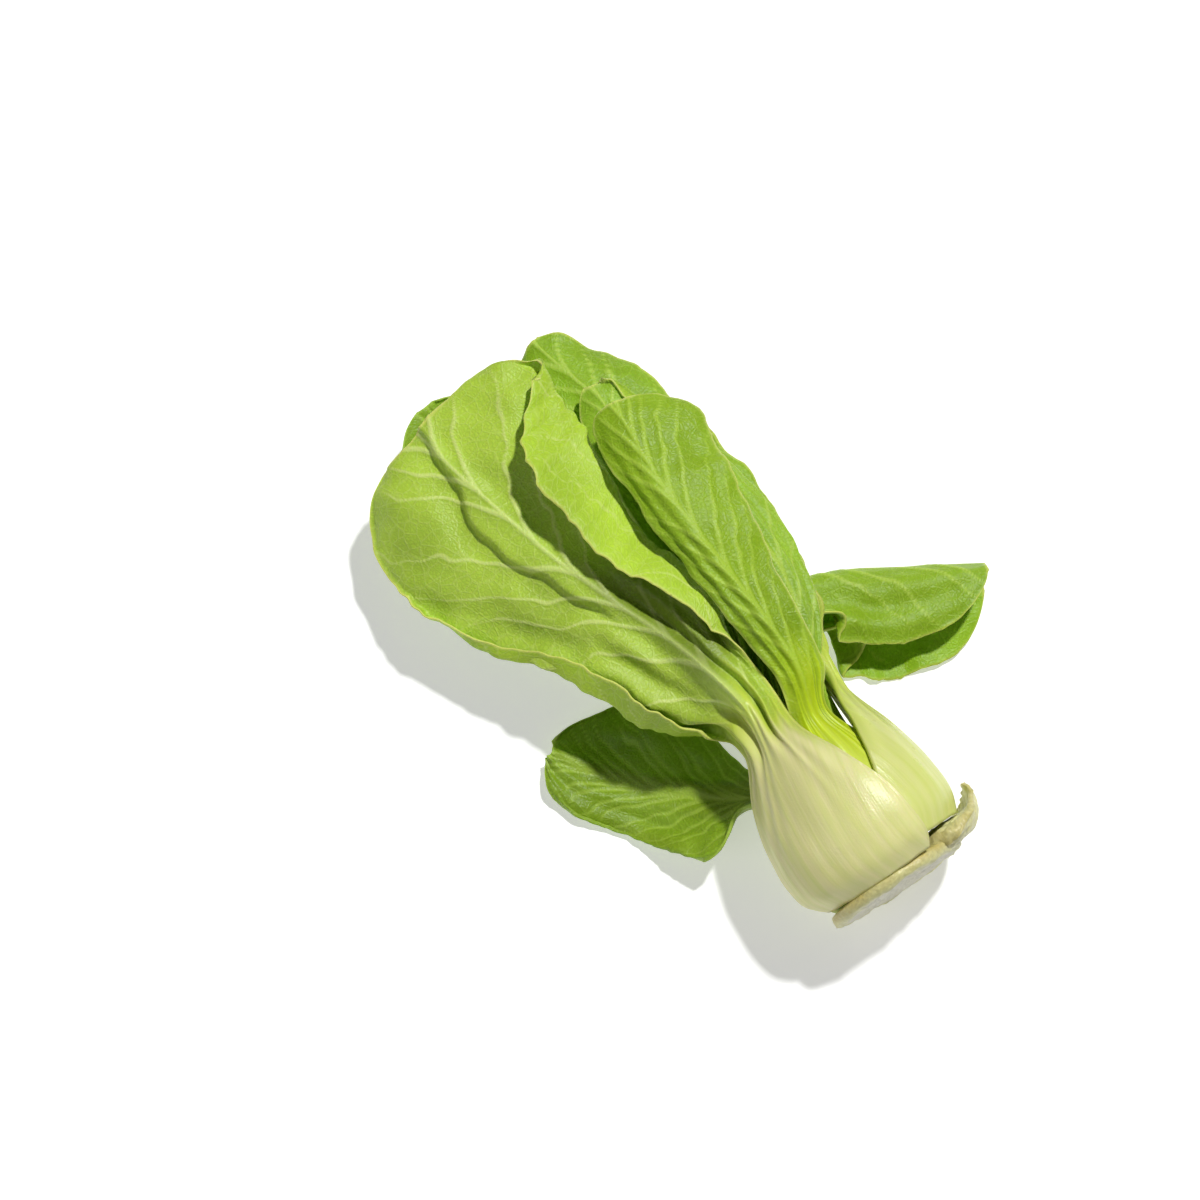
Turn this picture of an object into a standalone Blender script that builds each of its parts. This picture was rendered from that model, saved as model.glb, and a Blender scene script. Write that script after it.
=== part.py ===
"""One head of bok choy lying on its side: a cut stem base and its leaves, nested round it.

Lengths are millimetres in the head's own directions, and become metres when a mesh is made.
`along` runs from the bulb to the leaf tips, `across` to the right of the head as seen from above
with the tips pointing away, and `up` is the height over the surface that it lies on.
"""

import math
from dataclasses import dataclass
from typing import NamedTuple

import bpy
import numpy as np

MM = 0.001
REST_ALONG = 9.7

# The head's axis, which rises a little towards the tips
AXIS_UP = 27.0
AXIS_RISE = math.tan(math.radians(5))
HEAD_AXIS = np.array((math.cos(math.atan(AXIS_RISE)), 0.0, math.sin(math.atan(AXIS_RISE))))

# Radius of the outer stalks' middle surface along the bulb, up to the neck
BULB_ALONG = (-1.9, 0.2, 2.6, 9.0, 18.0, 32.0, 46.0)
BULB_RADIUS = (20.2, 22.4, 24.4, 26.0, 25.6, 22.8, 18.4)

# Share of a stalk's full spread and thickness at those places
STALK_SPREAD = (1.12, 1.12, 1.1, 1.05, 1.0, 0.82, 0.56)
STALK_BODY = (0.62, 0.72, 0.92, 1.0, 1.0, 0.90, 0.74)
FIRST_ROW_GAP = 1.5

# Stalk edges are thin, and blades thinner
STALK_EDGE = 1.5
BLADE_THICK = 0.8
NECK_EDGE = 1.1

# A midrib's thickness as a share of its stalk's, then in millimetres, at these shares of the blade
NECK_THICK_SHARE = 0.6
MIDRIB_THICK = (1.95, 0.9)
MIDRIB_THICK_AT = (0.0, 0.4, 1.0)
MIDRIB_HALF = (8.0, 2.5)

# A margin that folds over the leaf's back turns within the first part of its flap: this width
# and share of it, and never more than the last share
CREASE_LEAST = 1.2
CREASE_SHARE = 0.2
CREASE_MOST_SHARE = 0.45
FULL_FOLD_FLAP = 6.0
LEAST_FLAP = 1.2
HINGE_REACH = 9.0

# Over this length the sections turn from the head's axis to the midrib's own direction
BLADE_BLEND = 18.0
TANGENT_REACH = 0.5

# Where a knot row keeps its values; wide, cup, hinge and flap have a left and a right one each
PLACE = slice(0, 3)
FACING = slice(3, 6)
WIDE, CUP, HINGE, FLAP = 6, 8, 10, 12
THICK, EDGE, HALF_WIDTH = 14, 15, 16
LEAST_WIDE = 0.5

# Grid lines over a leaf
STALK_ROWS = 9
BLADE_ROWS = 12
TIP_ROWS = 4
TIP_LAST_TURN = math.radians(80)
BODY_COLUMNS = (0.16, 0.38, 0.62, 0.84, 1.0)
CREASE_COLUMNS = (0.35, 0.7, 1.0)
FLAP_COLUMNS = (0.5, 1.0)
STEPS_PER_COLUMN = 8

# Cut stem: along and radius from the middle of the cut face to the top of the core
CUT_ALONG = -6.6
STEM_PROFILE = (
    (CUT_ALONG, 0.0),
    (CUT_ALONG, 20.2),
    (-5.8, 21.2),
    (-4.0, 21.6),
    (-3.3, 20.8),
    (-3.3, 14.2),
    (2.0, 13.6),
    (3.4, 10.6),
    (6.4, 9.8),
    (7.8, 6.2),
    (15.0, 4.2),
    (18.0, 0.0),
)
STEM_SIDES = 40


class Layer(NamedTuple):
    """One ring of stalks: where it starts, and its radius and thickness."""

    start: float
    share: float
    thick: float


OUTER = Layer(-1.9, 1.0, 5.2)
LAPPED = Layer(2.9, 0.975, 4.6)
SECOND = Layer(4.2, 0.735, 4.2)
INNER = Layer(5.0, 0.52, 3.6)
HEART = Layer(9.0, 0.34, 3.0)


class Knot(NamedTuple):
    """One place on a leaf's midrib, with left and right as seen from the leaf's back."""

    at: tuple
    facing: tuple
    wide: tuple
    cup: tuple = (15.0, 15.0)
    hinge: tuple = (0.0, 0.0)
    flap: tuple = (0.0, 0.0)


@dataclass(frozen=True)
class Leaf:
    """A leaf: its stalk's place in the bulb, and the knots of its blade."""

    name: str
    layer: Layer
    angle: float
    spread: tuple
    blade: tuple
    colour: tuple
    tuck: tuple = (0.0, 0.0)
    last_stalk: float = 46.0
    fold: tuple = (150.0, 150.0)
    tip_length: float = 14.0
    tip_square: float = 0.8
    wave: float = 1.0
    wave_turns: float = 3.5


def radial(degrees):
    """The direction out from the head's axis, turned to the right from straight up."""
    turn = math.radians(degrees)
    return np.array((0.0, math.sin(turn), math.cos(turn)))


def axis_point(along):
    return np.array((along, 0.0, AXIS_UP + along * AXIS_RISE))


def smooth_step(x):
    x = np.clip(x, 0.0, 1.0)
    return x * x * (3 - 2 * x)


def spline(knots, values, places):
    """A smooth curve through the values at the knots, read at the places."""
    knots, values = np.asarray(knots, float), np.asarray(values, float)
    gaps = np.diff(knots)
    slopes = np.diff(values, axis=0) / gaps[:, None]
    inner = (slopes[:-1] * gaps[1:, None] + slopes[1:] * gaps[:-1, None]) / (gaps[1:] + gaps[:-1])[:, None]
    tangents = np.concatenate([slopes[:1], inner, slopes[-1:]])
    cell = np.clip(np.searchsorted(knots, places, side="right") - 1, 0, len(gaps) - 1)
    gap = gaps[cell]
    x = ((places - knots[cell]) / gap)[:, None]
    gap = gap[:, None]
    return (
        (1 + 2 * x) * (1 - x) ** 2 * values[cell]
        + x * (1 - x) ** 2 * gap * tangents[cell]
        + x * x * (3 - 2 * x) * values[cell + 1]
        + x * x * (x - 1) * gap * tangents[cell + 1]
    )


def stalk_knots(leaf):
    """Rows of knot values along the stalk, which wraps round the head's axis."""
    rows = []
    first = leaf.layer.start
    later = [a for a in BULB_ALONG if first + FIRST_ROW_GAP < a <= leaf.last_stalk]
    for along in [first, *later]:
        radius = np.interp(along, BULB_ALONG, BULB_RADIUS) * leaf.layer.share
        share = np.interp(along, BULB_ALONG, STALK_SPREAD)
        spread = np.array(leaf.spread) * share
        wide = np.radians(spread) * radius
        cup = spread + np.array(leaf.tuck) * share
        at = axis_point(along) + radius * radial(leaf.angle)
        grown = along - first + BULB_ALONG[0]
        thick = leaf.layer.thick * min(np.interp((along, grown), BULB_ALONG, STALK_BODY))
        rows.append([*at, *radial(leaf.angle), *wide, *cup, 0, 0, 0, 0, thick, STALK_EDGE, max(wide)])
    return rows


def blade_knots(leaf):
    """Rows of knot values along the blade, whose midrib thins towards the tip."""
    rows = []
    for i, knot in enumerate(leaf.blade):
        done = i / (len(leaf.blade) - 1)
        thick = np.interp(done, MIDRIB_THICK_AT, (leaf.layer.thick * NECK_THICK_SHARE, *MIDRIB_THICK))
        half = np.interp(done, (0, 1), MIDRIB_HALF)
        facing = np.array(knot.facing) / np.linalg.norm(knot.facing)
        edge = np.interp(i, (0, 1), (NECK_EDGE, BLADE_THICK))
        rows.append([*knot.at, *facing, *knot.wide, *knot.cup, *knot.hinge, *knot.flap, thick, edge, half])
    return rows


def row_places(ends, leaf):
    """Where the grid's rows lie on the midrib, closer together in the round tip."""
    stalk_end, length = ends
    tip_start = length - leaf.tip_length
    stalk = np.linspace(0, stalk_end, STALK_ROWS, endpoint=False)
    blade = np.linspace(stalk_end, tip_start, BLADE_ROWS, endpoint=False)
    turns = np.linspace(0, TIP_LAST_TURN, TIP_ROWS + 1)
    places = np.concatenate([stalk, blade, tip_start + leaf.tip_length * np.sin(turns)])
    narrow = np.concatenate([np.ones(len(stalk) + len(blade)), np.cos(turns) ** leaf.tip_square])
    return places, narrow


def section_lines(wide, flap, has_flap):
    """Distances from the midrib of the grid's columns, and each one's share of body, crease and flap."""
    crease = np.minimum(CREASE_LEAST + flap * CREASE_SHARE, flap * CREASE_MOST_SHARE)
    body = wide - flap
    parts = [(body * 0, body, BODY_COLUMNS, 0)]
    if has_flap:
        parts.append((body, crease, CREASE_COLUMNS, 1))
        parts.append((body + crease, flap - crease, FLAP_COLUMNS, 2))
    return parts


def half_section(side, row, leaf):
    """Places across one half of the leaf, as distances along the side and against the back.

    The half leaves the midrib at right angles to the back and its direction turns by the hinge
    angle near the midrib, by the cup angle evenly over its body, and back over the leaf by the
    fold angle in the crease. The places are sums of short steps in that direction.
    """
    wide, cup, hinge, flap = (row[:, k + side] for k in (WIDE, CUP, HINGE, FLAP))
    has_flap = flap.max() > 0
    flap = np.maximum(flap, LEAST_FLAP) if has_flap else flap
    body = wide - flap
    fold = np.radians(leaf.fold[side]) * smooth_step(flap / FULL_FOLD_FLAP)
    places = np.zeros((len(row), 1))
    turns = np.zeros((len(row), 1))
    keep = [0]
    for start, length, shares, part in section_lines(wide, flap, has_flap):
        begin = 0.0
        for share in shares:
            fine = np.linspace(begin, share, STEPS_PER_COLUMN + 1)[1:]
            places = np.hstack([places, start[:, None] + length[:, None] * fine])
            turn = np.radians(hinge)[:, None] * smooth_step(places[:, -STEPS_PER_COLUMN:] / HINGE_REACH)
            turn = turn + np.radians(cup)[:, None] * np.minimum(places[:, -STEPS_PER_COLUMN:] / body[:, None], 1)
            if part:
                turn = turn - fold[:, None] * smooth_step(fine if part == 1 else fine * 0 + 1)
            turns = np.hstack([turns, turn])
            keep.append(places.shape[1] - 1)
            begin = share
    steps = np.diff(places, axis=1)
    middle = (turns[:, 1:] + turns[:, :-1]) / 2
    out = np.cumsum(np.hstack([np.zeros((len(row), 1)), steps * np.cos(middle)]), axis=1)
    down = np.cumsum(np.hstack([np.zeros((len(row), 1)), steps * np.sin(middle)]), axis=1)
    keep = np.array(keep)
    return out[:, keep], down[:, keep], places[:, keep]


def leaf_surface(leaf, knots, stalk_count):
    """The middle surface as a grid of points, with the thickness at each."""
    knots = np.array(knots)
    chords = np.linalg.norm(np.diff(knots[:, PLACE], axis=0), axis=1)
    marks = np.concatenate([[0], np.cumsum(chords)])
    places, narrow = row_places((marks[stalk_count - 1], marks[-1]), leaf)
    row = spline(marks, knots, places)
    ahead = spline(marks, knots[:, PLACE], np.minimum(places + TANGENT_REACH, marks[-1]))
    behind = spline(marks, knots[:, PLACE], np.maximum(places - TANGENT_REACH, 0))
    tangent = ahead - behind
    tangent /= np.linalg.norm(tangent, axis=1)[:, None]
    # A stalk's sections stand square to the head's axis, and a blade's to its own midrib
    blade_share = smooth_step((places - marks[stalk_count - 1]) / BLADE_BLEND)
    tangent = HEAD_AXIS + (tangent - HEAD_AXIS) * blade_share[:, None]
    tangent /= np.linalg.norm(tangent, axis=1)[:, None]
    back = row[:, FACING] - tangent * (row[:, FACING] * tangent).sum(axis=1)[:, None]
    back /= np.linalg.norm(back, axis=1)[:, None]
    # The head's directions are left-handed, so this product points to the leaf's right
    right = np.cross(back, tangent)
    both_wide, both_flap = row[:, WIDE : WIDE + 2], row[:, FLAP : FLAP + 2]
    row[:, WIDE : WIDE + 2] = np.maximum(both_wide, LEAST_WIDE) * narrow[:, None]
    row[:, FLAP : FLAP + 2] = np.maximum(both_flap, 0) * narrow[:, None]

    halves = []
    for side, sign in ((0, -1), (1, 1)):
        out, down, run = half_section(side, row, leaf)
        unfolded = row[:, WIDE + side] - row[:, FLAP + side]
        share = np.minimum(run / np.maximum(unfolded, 1)[:, None], 1)
        wave_turn = 2 * math.pi * leaf.wave_turns * places / marks[-1] + sign
        down = down + leaf.wave * (blade_share * np.sin(wave_turn))[:, None] * share**2
        points = (
            row[:, None, PLACE]
            + sign * out[:, :, None] * right[:, None]
            - down[:, :, None] * back[:, None]
        )
        thick, edge, half = (row[:, k : k + 1] for k in (THICK, EDGE, HALF_WIDTH))
        body = edge + (thick - edge) * np.clip(1 - (run / half) ** 2, 0, 1)
        halves.append((points, body))
    grid = np.concatenate([halves[0][0][:, :0:-1], halves[1][0]], axis=1)
    thick = np.concatenate([halves[0][1][:, :0:-1], halves[1][1]], axis=1)
    return grid, thick


def grid_normals(grid):
    """Unit normals on the leaf's back, from the grid's own directions."""
    lengthwise = np.gradient(grid, axis=0)
    crosswise = np.gradient(grid, axis=1)
    normal = np.cross(crosswise, lengthwise) * -1
    return normal / np.linalg.norm(normal, axis=2)[:, :, None]


def leaf_solid(grid, thick):
    """Points and faces of the leaf as a closed solid that lies on or above the surface."""
    normal = grid_normals(grid)
    half = thick[:, :, None] / 2
    sunk = np.maximum(half[:, :, 0] * np.abs(normal[:, :, 2]) - grid[:, :, 2], 0)
    grid = grid + sunk[:, :, None] * np.array((0.0, 0.0, 1.0))
    rows, columns = grid.shape[:2]
    points = np.concatenate([(grid + normal * half).reshape(-1, 3), (grid - normal * half).reshape(-1, 3)])
    index = np.arange(rows * columns).reshape(rows, columns)
    a, b, c, d = index[:-1, :-1], index[1:, :-1], index[1:, 1:], index[:-1, 1:]
    back = np.concatenate([np.stack([a, b, c], -1).reshape(-1, 3), np.stack([a, c, d], -1).reshape(-1, 3)])
    front = back[:, ::-1] + rows * columns
    rim = np.concatenate([index[0, :], index[1:, -1], index[-1, -2::-1], index[-2:0:-1, 0]])
    after = np.roll(rim, -1)
    far = rows * columns
    sides = np.concatenate([np.stack([rim, after, after + far], -1), np.stack([rim, after + far, rim + far], -1)])
    return points, np.concatenate([back, front, sides])


def to_world(points):
    """From along, across and up in millimetres to the scene's metres."""
    return (points - (REST_ALONG, 0.0, 0.0)) * (MM, -MM, MM)


def outward(points, faces):
    """The faces, turned round if they enclose a negative volume."""
    corners = points[faces]
    volume = np.einsum("ij,ij->i", corners[:, 0], np.cross(corners[:, 1], corners[:, 2])).sum()
    return faces if volume > 0 else faces[:, ::-1]


def material(name, colour, roughness=0.45):
    made = bpy.data.materials.new(name)
    made.use_nodes = True
    shader = made.node_tree.nodes["Principled BSDF"]
    shader.inputs["Base Color"].default_value = (*colour, 1.0)
    shader.inputs["Roughness"].default_value = roughness
    shader.inputs["Metallic"].default_value = 0.0
    return made


def add_object(name, points, faces, colour):
    world = to_world(points)
    mesh = bpy.data.meshes.new(name)
    mesh.from_pydata(world.tolist(), [], outward(world, faces).tolist())
    mesh.update()
    mesh.shade_smooth()
    mesh.materials.append(material(name, colour))
    made = bpy.data.objects.new(name, mesh)
    bpy.context.scene.collection.objects.link(made)
    return made


def add_leaf(leaf):
    stalk = stalk_knots(leaf)
    grid, thick = leaf_surface(leaf, stalk + blade_knots(leaf), len(stalk))
    return add_object(leaf.name, *leaf_solid(grid, thick), leaf.colour)


LEAF_GREEN = (0.19, 0.36, 0.04)
DEEP_GREEN = (0.10, 0.22, 0.03)
HEART_GREEN = (0.35, 0.52, 0.08)
STALK_CREAM = (0.70, 0.72, 0.38)

OUTER_LEFT = Leaf(
    name="leaf_outer_left",
    layer=OUTER,
    angle=-38,
    spread=(60, 58),
    tuck=(-4, -15),
    colour=LEAF_GREEN,
    fold=(150, 168),
    tip_length=16,
    tip_square=0.45,
    blade=(
        Knot((58, -9.5, 44), (0, -0.55, 0.84), (20, 8), (45, 30), flap=(3, 0)),
        Knot((72, -13, 45), (0, -0.35, 0.93), (34, 12), (38, 15), flap=(10, 3)),
        Knot((90, -19, 43.5), (0, -0.2, 0.97), (36, 30), (34, 22), (0, -14), (11, 13)),
        Knot((108, -26, 42), (0, -0.15, 1), (34, 41), (30, 28), (0, -20), (8, 20)),
        Knot((126, -32, 40), (0, -0.15, 1), (38, 52), (28, 28), (0, -22), (5, 24)),
        Knot((146, -37, 38.5), (0, -0.15, 1), (39, 59), (26, 28), (0, -22), (3, 25)),
        Knot((163, -41, 37), (0, -0.15, 1), (36, 42), (26, 26), (0, -22), (1, 6)),
        Knot((180, -44, 35), (0, -0.15, 1), (30, 38), (26, 22), (0, -20), (0, 0)),
    ),
)

OUTER_RIGHT = Leaf(
    name="leaf_outer_right",
    layer=LAPPED,
    angle=88,
    spread=(67.4, 46),
    tuck=(12.5, 2),
    colour=LEAF_GREEN,
    tip_length=26,
    tip_square=0.9,
    blade=(
        Knot((58, 17, 34), (0, 0.95, 0.3), (4, 8), (20, 28)),
        Knot((72, 18, 34), (0, 0.6, 0.8), (8, 10), (18, 30)),
        Knot((92, 19, 34.5), (0, 0.2, 1), (14, 13), (12, 30)),
        Knot((112, 18, 34.5), (0, 0.1, 1), (20, 15), (10, 30)),
        Knot((132, 14, 34), (0, 0.05, 1), (25, 17), (12, 30)),
        Knot((152, 9, 34), (0, 0, 1), (26, 17), (20, 30)),
        Knot((170, 4, 33), (0, 0, 1), (22, 15), (40, 30)),
        Knot((187, 0, 31), (0.1, 0, 1), (17, 12), (50, 30)),
    ),
)

UNDERNEATH = Leaf(
    name="leaf_underneath",
    layer=OUTER,
    angle=190,
    spread=(38, 34),
    tuck=(-2, -2),
    colour=DEEP_GREEN,
    tip_length=16,
    blade=(
        Knot((58, -5, 17), (0, -0.1, -1), (7, 8), (25, 25)),
        Knot((72, -8, 11), (0, -0.05, -1), (14, 14)),
        Knot((92, -13, 5.5), (0, 0, -1), (20, 20)),
        Knot((115, -20, 1.5), (0, 0, -1), (26, 26)),
        Knot((138, -26, 2), (0, 0, -1), (28, 28)),
        Knot((160, -31, 7), (0, 0, -1), (25, 25)),
        Knot((178, -34, 13), (0, 0, -1), (20, 20)),
        Knot((191, -35, 19), (0, 0, -1), (14, 14)),
    ),
)

LOW_LEFT = Leaf(
    name="leaf_low_left",
    layer=SECOND,
    angle=-108,
    spread=(42, 36),
    last_stalk=32.0,
    colour=DEEP_GREEN,
    tip_length=16,
    blade=(
        Knot((37, -18.5, 17), (-0.2, -0.45, -0.85), (7, 9), (16, 14)),
        Knot((43, -25, 10.5), (-0.2, -0.2, -0.95), (13, 21), (12, 10), flap=(0, 3)),
        Knot((51, -33, 5.5), (-0.1, -0.1, -1), (21, 23), (8, 8), flap=(0, 6)),
        Knot((61, -43, 3), (0, 0, -1), (24, 20), (8, 8), flap=(0, 6)),
        Knot((72, -52, 3), (0, 0, -1), (22, 17), (8, 8), flap=(0, 4)),
        Knot((84, -60, 5), (0, 0, -1), (16, 12), (8, 8), flap=(0, 2)),
    ),
)

LOW_RIGHT = Leaf(
    name="leaf_low_right",
    layer=SECOND,
    angle=150,
    spread=(44, 38),
    colour=LEAF_GREEN,
    tip_length=12,
    tip_square=0.5,
    wave=0.6,
    blade=(
        Knot((60, 13.5, 16), (0.1, 0.35, -0.9), (6, 6), (20, 20)),
        Knot((70, 15.5, 12.5), (0.2, 0.2, -0.9), (8, 7), (12, 12), (20, 30)),
        Knot((79, 20.5, 11), (0.75, -0.2, -0.5), (17, 13), (10, 12), (50, 60)),
        Knot((84, 29, 11), (0.97, 0.1, -0.15), (29, 22), (8, 12), (72, 82)),
        Knot((81.5, 40, 11), (1, 0.25, 0), (33, 26), (6, 12), (78, 84)),
        Knot((75, 54, 11), (0.95, 0.4, 0.05), (36, 27), (6, 12), (80, 87)),
        Knot((67, 67, 11), (0.9, 0.45, 0.05), (31, 22), (6, 12), (80, 87)),
        Knot((60, 79, 11), (0.9, 0.45, 0.05), (22, 14), (6, 10), (78, 80)),
    ),
)

TOP = Leaf(
    name="leaf_top",
    layer=SECOND,
    angle=16,
    spread=(50, 44),
    colour=LEAF_GREEN,
    tip_length=14,
    tip_square=0.6,
    wave=0.6,
    blade=(
        Knot((58, 6.5, 48.5), (0, 0.2, 1), (6, 9), (25, 20)),
        Knot((72, 6.5, 53), (0, 0.1, 1), (8, 10), (25, 20), (15, 0)),
        Knot((88, 5, 57), (0, 0.05, 1), (9, 14), (25, 20), (30, 0)),
        Knot((104, 3.5, 59.5), (0, 0, 1), (9.5, 18), (25, 22), (35, 0)),
        Knot((122, 2.5, 60.5), (0, 0, 1), (10, 21), (25, 24), (35, 0)),
        Knot((138, 3.5, 59.5), (0.05, 0, 1), (11, 22), (25, 24), (30, 0)),
        Knot((150, 5, 58), (0.1, 0, 1), (11, 18), (25, 22), (25, 0)),
    ),
)

INNER_RIGHT = Leaf(
    name="leaf_inner_right",
    layer=INNER,
    angle=52,
    spread=(44, 46),
    last_stalk=32.0,
    colour=LEAF_GREEN,
    wave=0.4,
    blade=(
        Knot((46, 9, 36.5), (0, 0.65, 0.76), (5, 4.5), (22, 24)),
        Knot((57, 10.5, 41), (0, 0.5, 0.86), (5, 3.6), (22, 22)),
        Knot((70, 16, 44), (0, 0.4, 0.92), (7.5, 9), (15, 28)),
        Knot((84, 19.5, 45), (0, 0.35, 0.95), (11, 11), (10, 36)),
        Knot((100, 20, 46), (0, 0.25, 1), (12, 12), (10, 38)),
        Knot((114, 19, 45.5), (0, 0.25, 1), (12, 11.5), (10, 38)),
        Knot((129, 17.5, 44), (0, 0.25, 1), (9, 9), (10, 30)),
    ),
)

INNER_ROLLED = Leaf(
    name="leaf_inner_rolled",
    layer=INNER,
    angle=-55,
    spread=(44, 34),
    colour=LEAF_GREEN,
    wave=0.4,
    fold=(150, 170),
    blade=(
        Knot((60, -5.5, 38.5), (0, -0.2, 1), (7, 7), (20, 20), flap=(0, 0)),
        Knot((80, -0.5, 40.5), (0, -0.1, 1), (8, 8), (15, 15), flap=(0, 0)),
        Knot((100, 2.5, 41), (0, 0, 1), (9, 9), (12, 12), flap=(0, 0)),
        Knot((122, 3.5, 40.5), (0, 0, 1), (10, 12), (10, 10), flap=(0, 2)),
        Knot((142, 5, 40.5), (0, 0, 1), (10, 16), (10, 10), flap=(0, 6)),
        Knot((163, 6, 40), (0.1, 0, 1), (9, 15), (10, 10), flap=(0, 6)),
    ),
)

INNER_BACK = Leaf(
    name="leaf_inner_back",
    layer=INNER,
    angle=178,
    spread=(46, 46),
    colour=HEART_GREEN,
    wave=0.6,
    blade=(
        Knot((60, 1.5, 22.5), (0, 0, -1), (8, 8), (25, 25)),
        Knot((80, 3, 23.5), (0, 0, -1), (12, 12), (15, 15)),
        Knot((102, 4, 23.5), (0, 0, -1), (15, 15), (12, 12)),
        Knot((128, 4, 24), (0, 0, -1), (11, 11), (12, 12)),
    ),
)

HEART_UPPER = Leaf(
    name="leaf_heart_upper",
    layer=HEART,
    angle=0,
    spread=(60, 60),
    colour=HEART_GREEN,
    tip_length=8,
    wave=0.3,
    blade=(
        Knot((60, 2, 35), (0, 0, 1), (4.5, 4.5), (30, 30)),
        Knot((78, 4, 36), (0, 0, 1), (4, 4), (30, 30)),
    ),
)

HEART_LOWER = Leaf(
    name="leaf_heart_lower",
    layer=HEART,
    angle=180,
    spread=(60, 60),
    colour=HEART_GREEN,
    tip_length=8,
    wave=0.3,
    blade=(
        Knot((60, 1, 28), (0, 0, -1), (5, 5), (30, 30)),
        Knot((84, 2, 29.5), (0, 0, -1), (5, 5), (30, 30)),
    ),
)

STUB_ANGLE = 88
STUB_EDGE_SHARE = 0.6
STUB_FOOT_ROWS = 3
# Along, radius, half angle in degrees and thickness
STUB_PROFILE = (
    (-1.8, 12.0, 52, 6.0),
    (-1.7, 21.0, 47, 6.0),
    (-1.2, 26.2, 41, 5.0),
    (1.0, 29.6, 30, 3.4),
    (4.6, 31.0, 14, 2.0),
    (8.5, 31.8, 3, 1.2),
)
STUB = Leaf(
    name="stub",
    layer=OUTER,
    angle=STUB_ANGLE,
    spread=(38, 38),
    colour=STALK_CREAM,
    tip_length=2,
    wave=0,
    blade=(),
)

LEAVES = (
    OUTER_LEFT,
    OUTER_RIGHT,
    UNDERNEATH,
    LOW_LEFT,
    LOW_RIGHT,
    TOP,
    INNER_RIGHT,
    INNER_ROLLED,
    INNER_BACK,
    HEART_UPPER,
    HEART_LOWER,
)


def stub_knots():
    """Rows of knot values for the stub, which hugs the outside of the bulb up to its point."""
    rows = []
    for along, radius, spread, thick in STUB_PROFILE:
        at = axis_point(along) + radius * radial(STUB_ANGLE)
        wide = math.radians(spread) * radius
        shape = (wide, wide, spread, spread, 0, 0, 0, 0)
        rows.append([*at, *radial(STUB_ANGLE), *shape, thick, thick * STUB_EDGE_SHARE, wide])
    return rows


def add_stub():
    """The trimmed foot of an outer leaf, as a shape for joining to the stem base."""
    rows = stub_knots()
    grid, thick = leaf_surface(STUB, rows, STUB_FOOT_ROWS)
    stub = add_object(STUB.name, *leaf_solid(grid, thick), STUB.colour)
    stub.hide_render = True
    stub.display_type = "WIRE"
    return stub


def add_stem_base():
    """The cut stem: a short disc under a core that the leaves stand round."""
    ring = np.linspace(0, 2 * math.pi, STEM_SIDES, endpoint=False)
    middle = [axis_point(along) for along, radius in STEM_PROFILE if radius == 0]
    rings = [
        axis_point(along) + radius * np.stack([np.zeros(STEM_SIDES), np.sin(ring), np.cos(ring)], -1)
        for along, radius in STEM_PROFILE
        if radius > 0
    ]
    points = np.concatenate([*rings, middle])
    index = np.arange(len(rings) * STEM_SIDES).reshape(len(rings), STEM_SIDES)
    after = np.roll(index, -1, axis=1)
    quads = np.stack([index[:-1], after[:-1], after[1:], index[1:]], -1).reshape(-1, 4)
    sides = np.concatenate([quads[:, [0, 1, 2]], quads[:, [0, 2, 3]]])
    first, last = index.size, index.size + 1
    cut = np.stack([np.full(STEM_SIDES, first), after[0], index[0]], -1)
    top = np.stack([np.full(STEM_SIDES, last), index[-1], after[-1]], -1)
    base = add_object("stem_base", points, np.concatenate([sides, cut, top]), STALK_CREAM)
    join = base.modifiers.new("join stub", "BOOLEAN")
    join.operation = "UNION"
    join.object = add_stub()
    return base


def main():
    for old in list(bpy.data.objects):
        bpy.data.objects.remove(old)
    add_stem_base()
    for leaf in LEAVES:
        add_leaf(leaf)


main()
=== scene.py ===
"""The looks of one head of bok choy that lies on its side: ribbed stalks, veined blades and the cut stem.

Lengths are millimetres in the head's own directions, and become metres when a mesh is made.
`along` runs from the bulb to the leaf tips, `across` to the right of the head as seen from above
with the tips pointing away, and `up` is the height over the surface that it lies on.
"""

import logging
import math
from dataclasses import dataclass, field
from enum import Enum
from typing import NamedTuple

import bpy
import numpy as np
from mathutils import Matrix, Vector
from numpy.typing import NDArray


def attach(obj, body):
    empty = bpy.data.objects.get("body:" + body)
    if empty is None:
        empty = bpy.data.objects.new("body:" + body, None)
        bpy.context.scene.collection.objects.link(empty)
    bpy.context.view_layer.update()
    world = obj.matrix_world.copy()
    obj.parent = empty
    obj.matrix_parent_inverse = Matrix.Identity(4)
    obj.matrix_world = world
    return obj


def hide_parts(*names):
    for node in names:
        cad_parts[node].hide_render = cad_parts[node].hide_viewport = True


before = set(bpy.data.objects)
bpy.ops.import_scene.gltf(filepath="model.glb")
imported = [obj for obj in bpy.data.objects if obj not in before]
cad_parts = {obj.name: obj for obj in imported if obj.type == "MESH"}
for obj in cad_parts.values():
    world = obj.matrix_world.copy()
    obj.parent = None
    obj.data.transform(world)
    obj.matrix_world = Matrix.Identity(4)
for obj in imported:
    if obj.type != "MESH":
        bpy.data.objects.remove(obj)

Array = NDArray[np.float64]
Colour = tuple[float, float, float]
Pair = tuple[float, float]
Triple = tuple[float, float, float]
Socket = bpy.types.NodeSocket

log = logging.getLogger("bok_choy")

MM = 0.001
REST_ALONG = 9.7
BODY = "root"
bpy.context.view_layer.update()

# The head's axis, which rises a little towards the tips
AXIS_UP = 27.0
AXIS_RISE = math.tan(math.radians(5))
HEAD_AXIS = np.array((math.cos(math.atan(AXIS_RISE)), 0.0, math.sin(math.atan(AXIS_RISE))))

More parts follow.
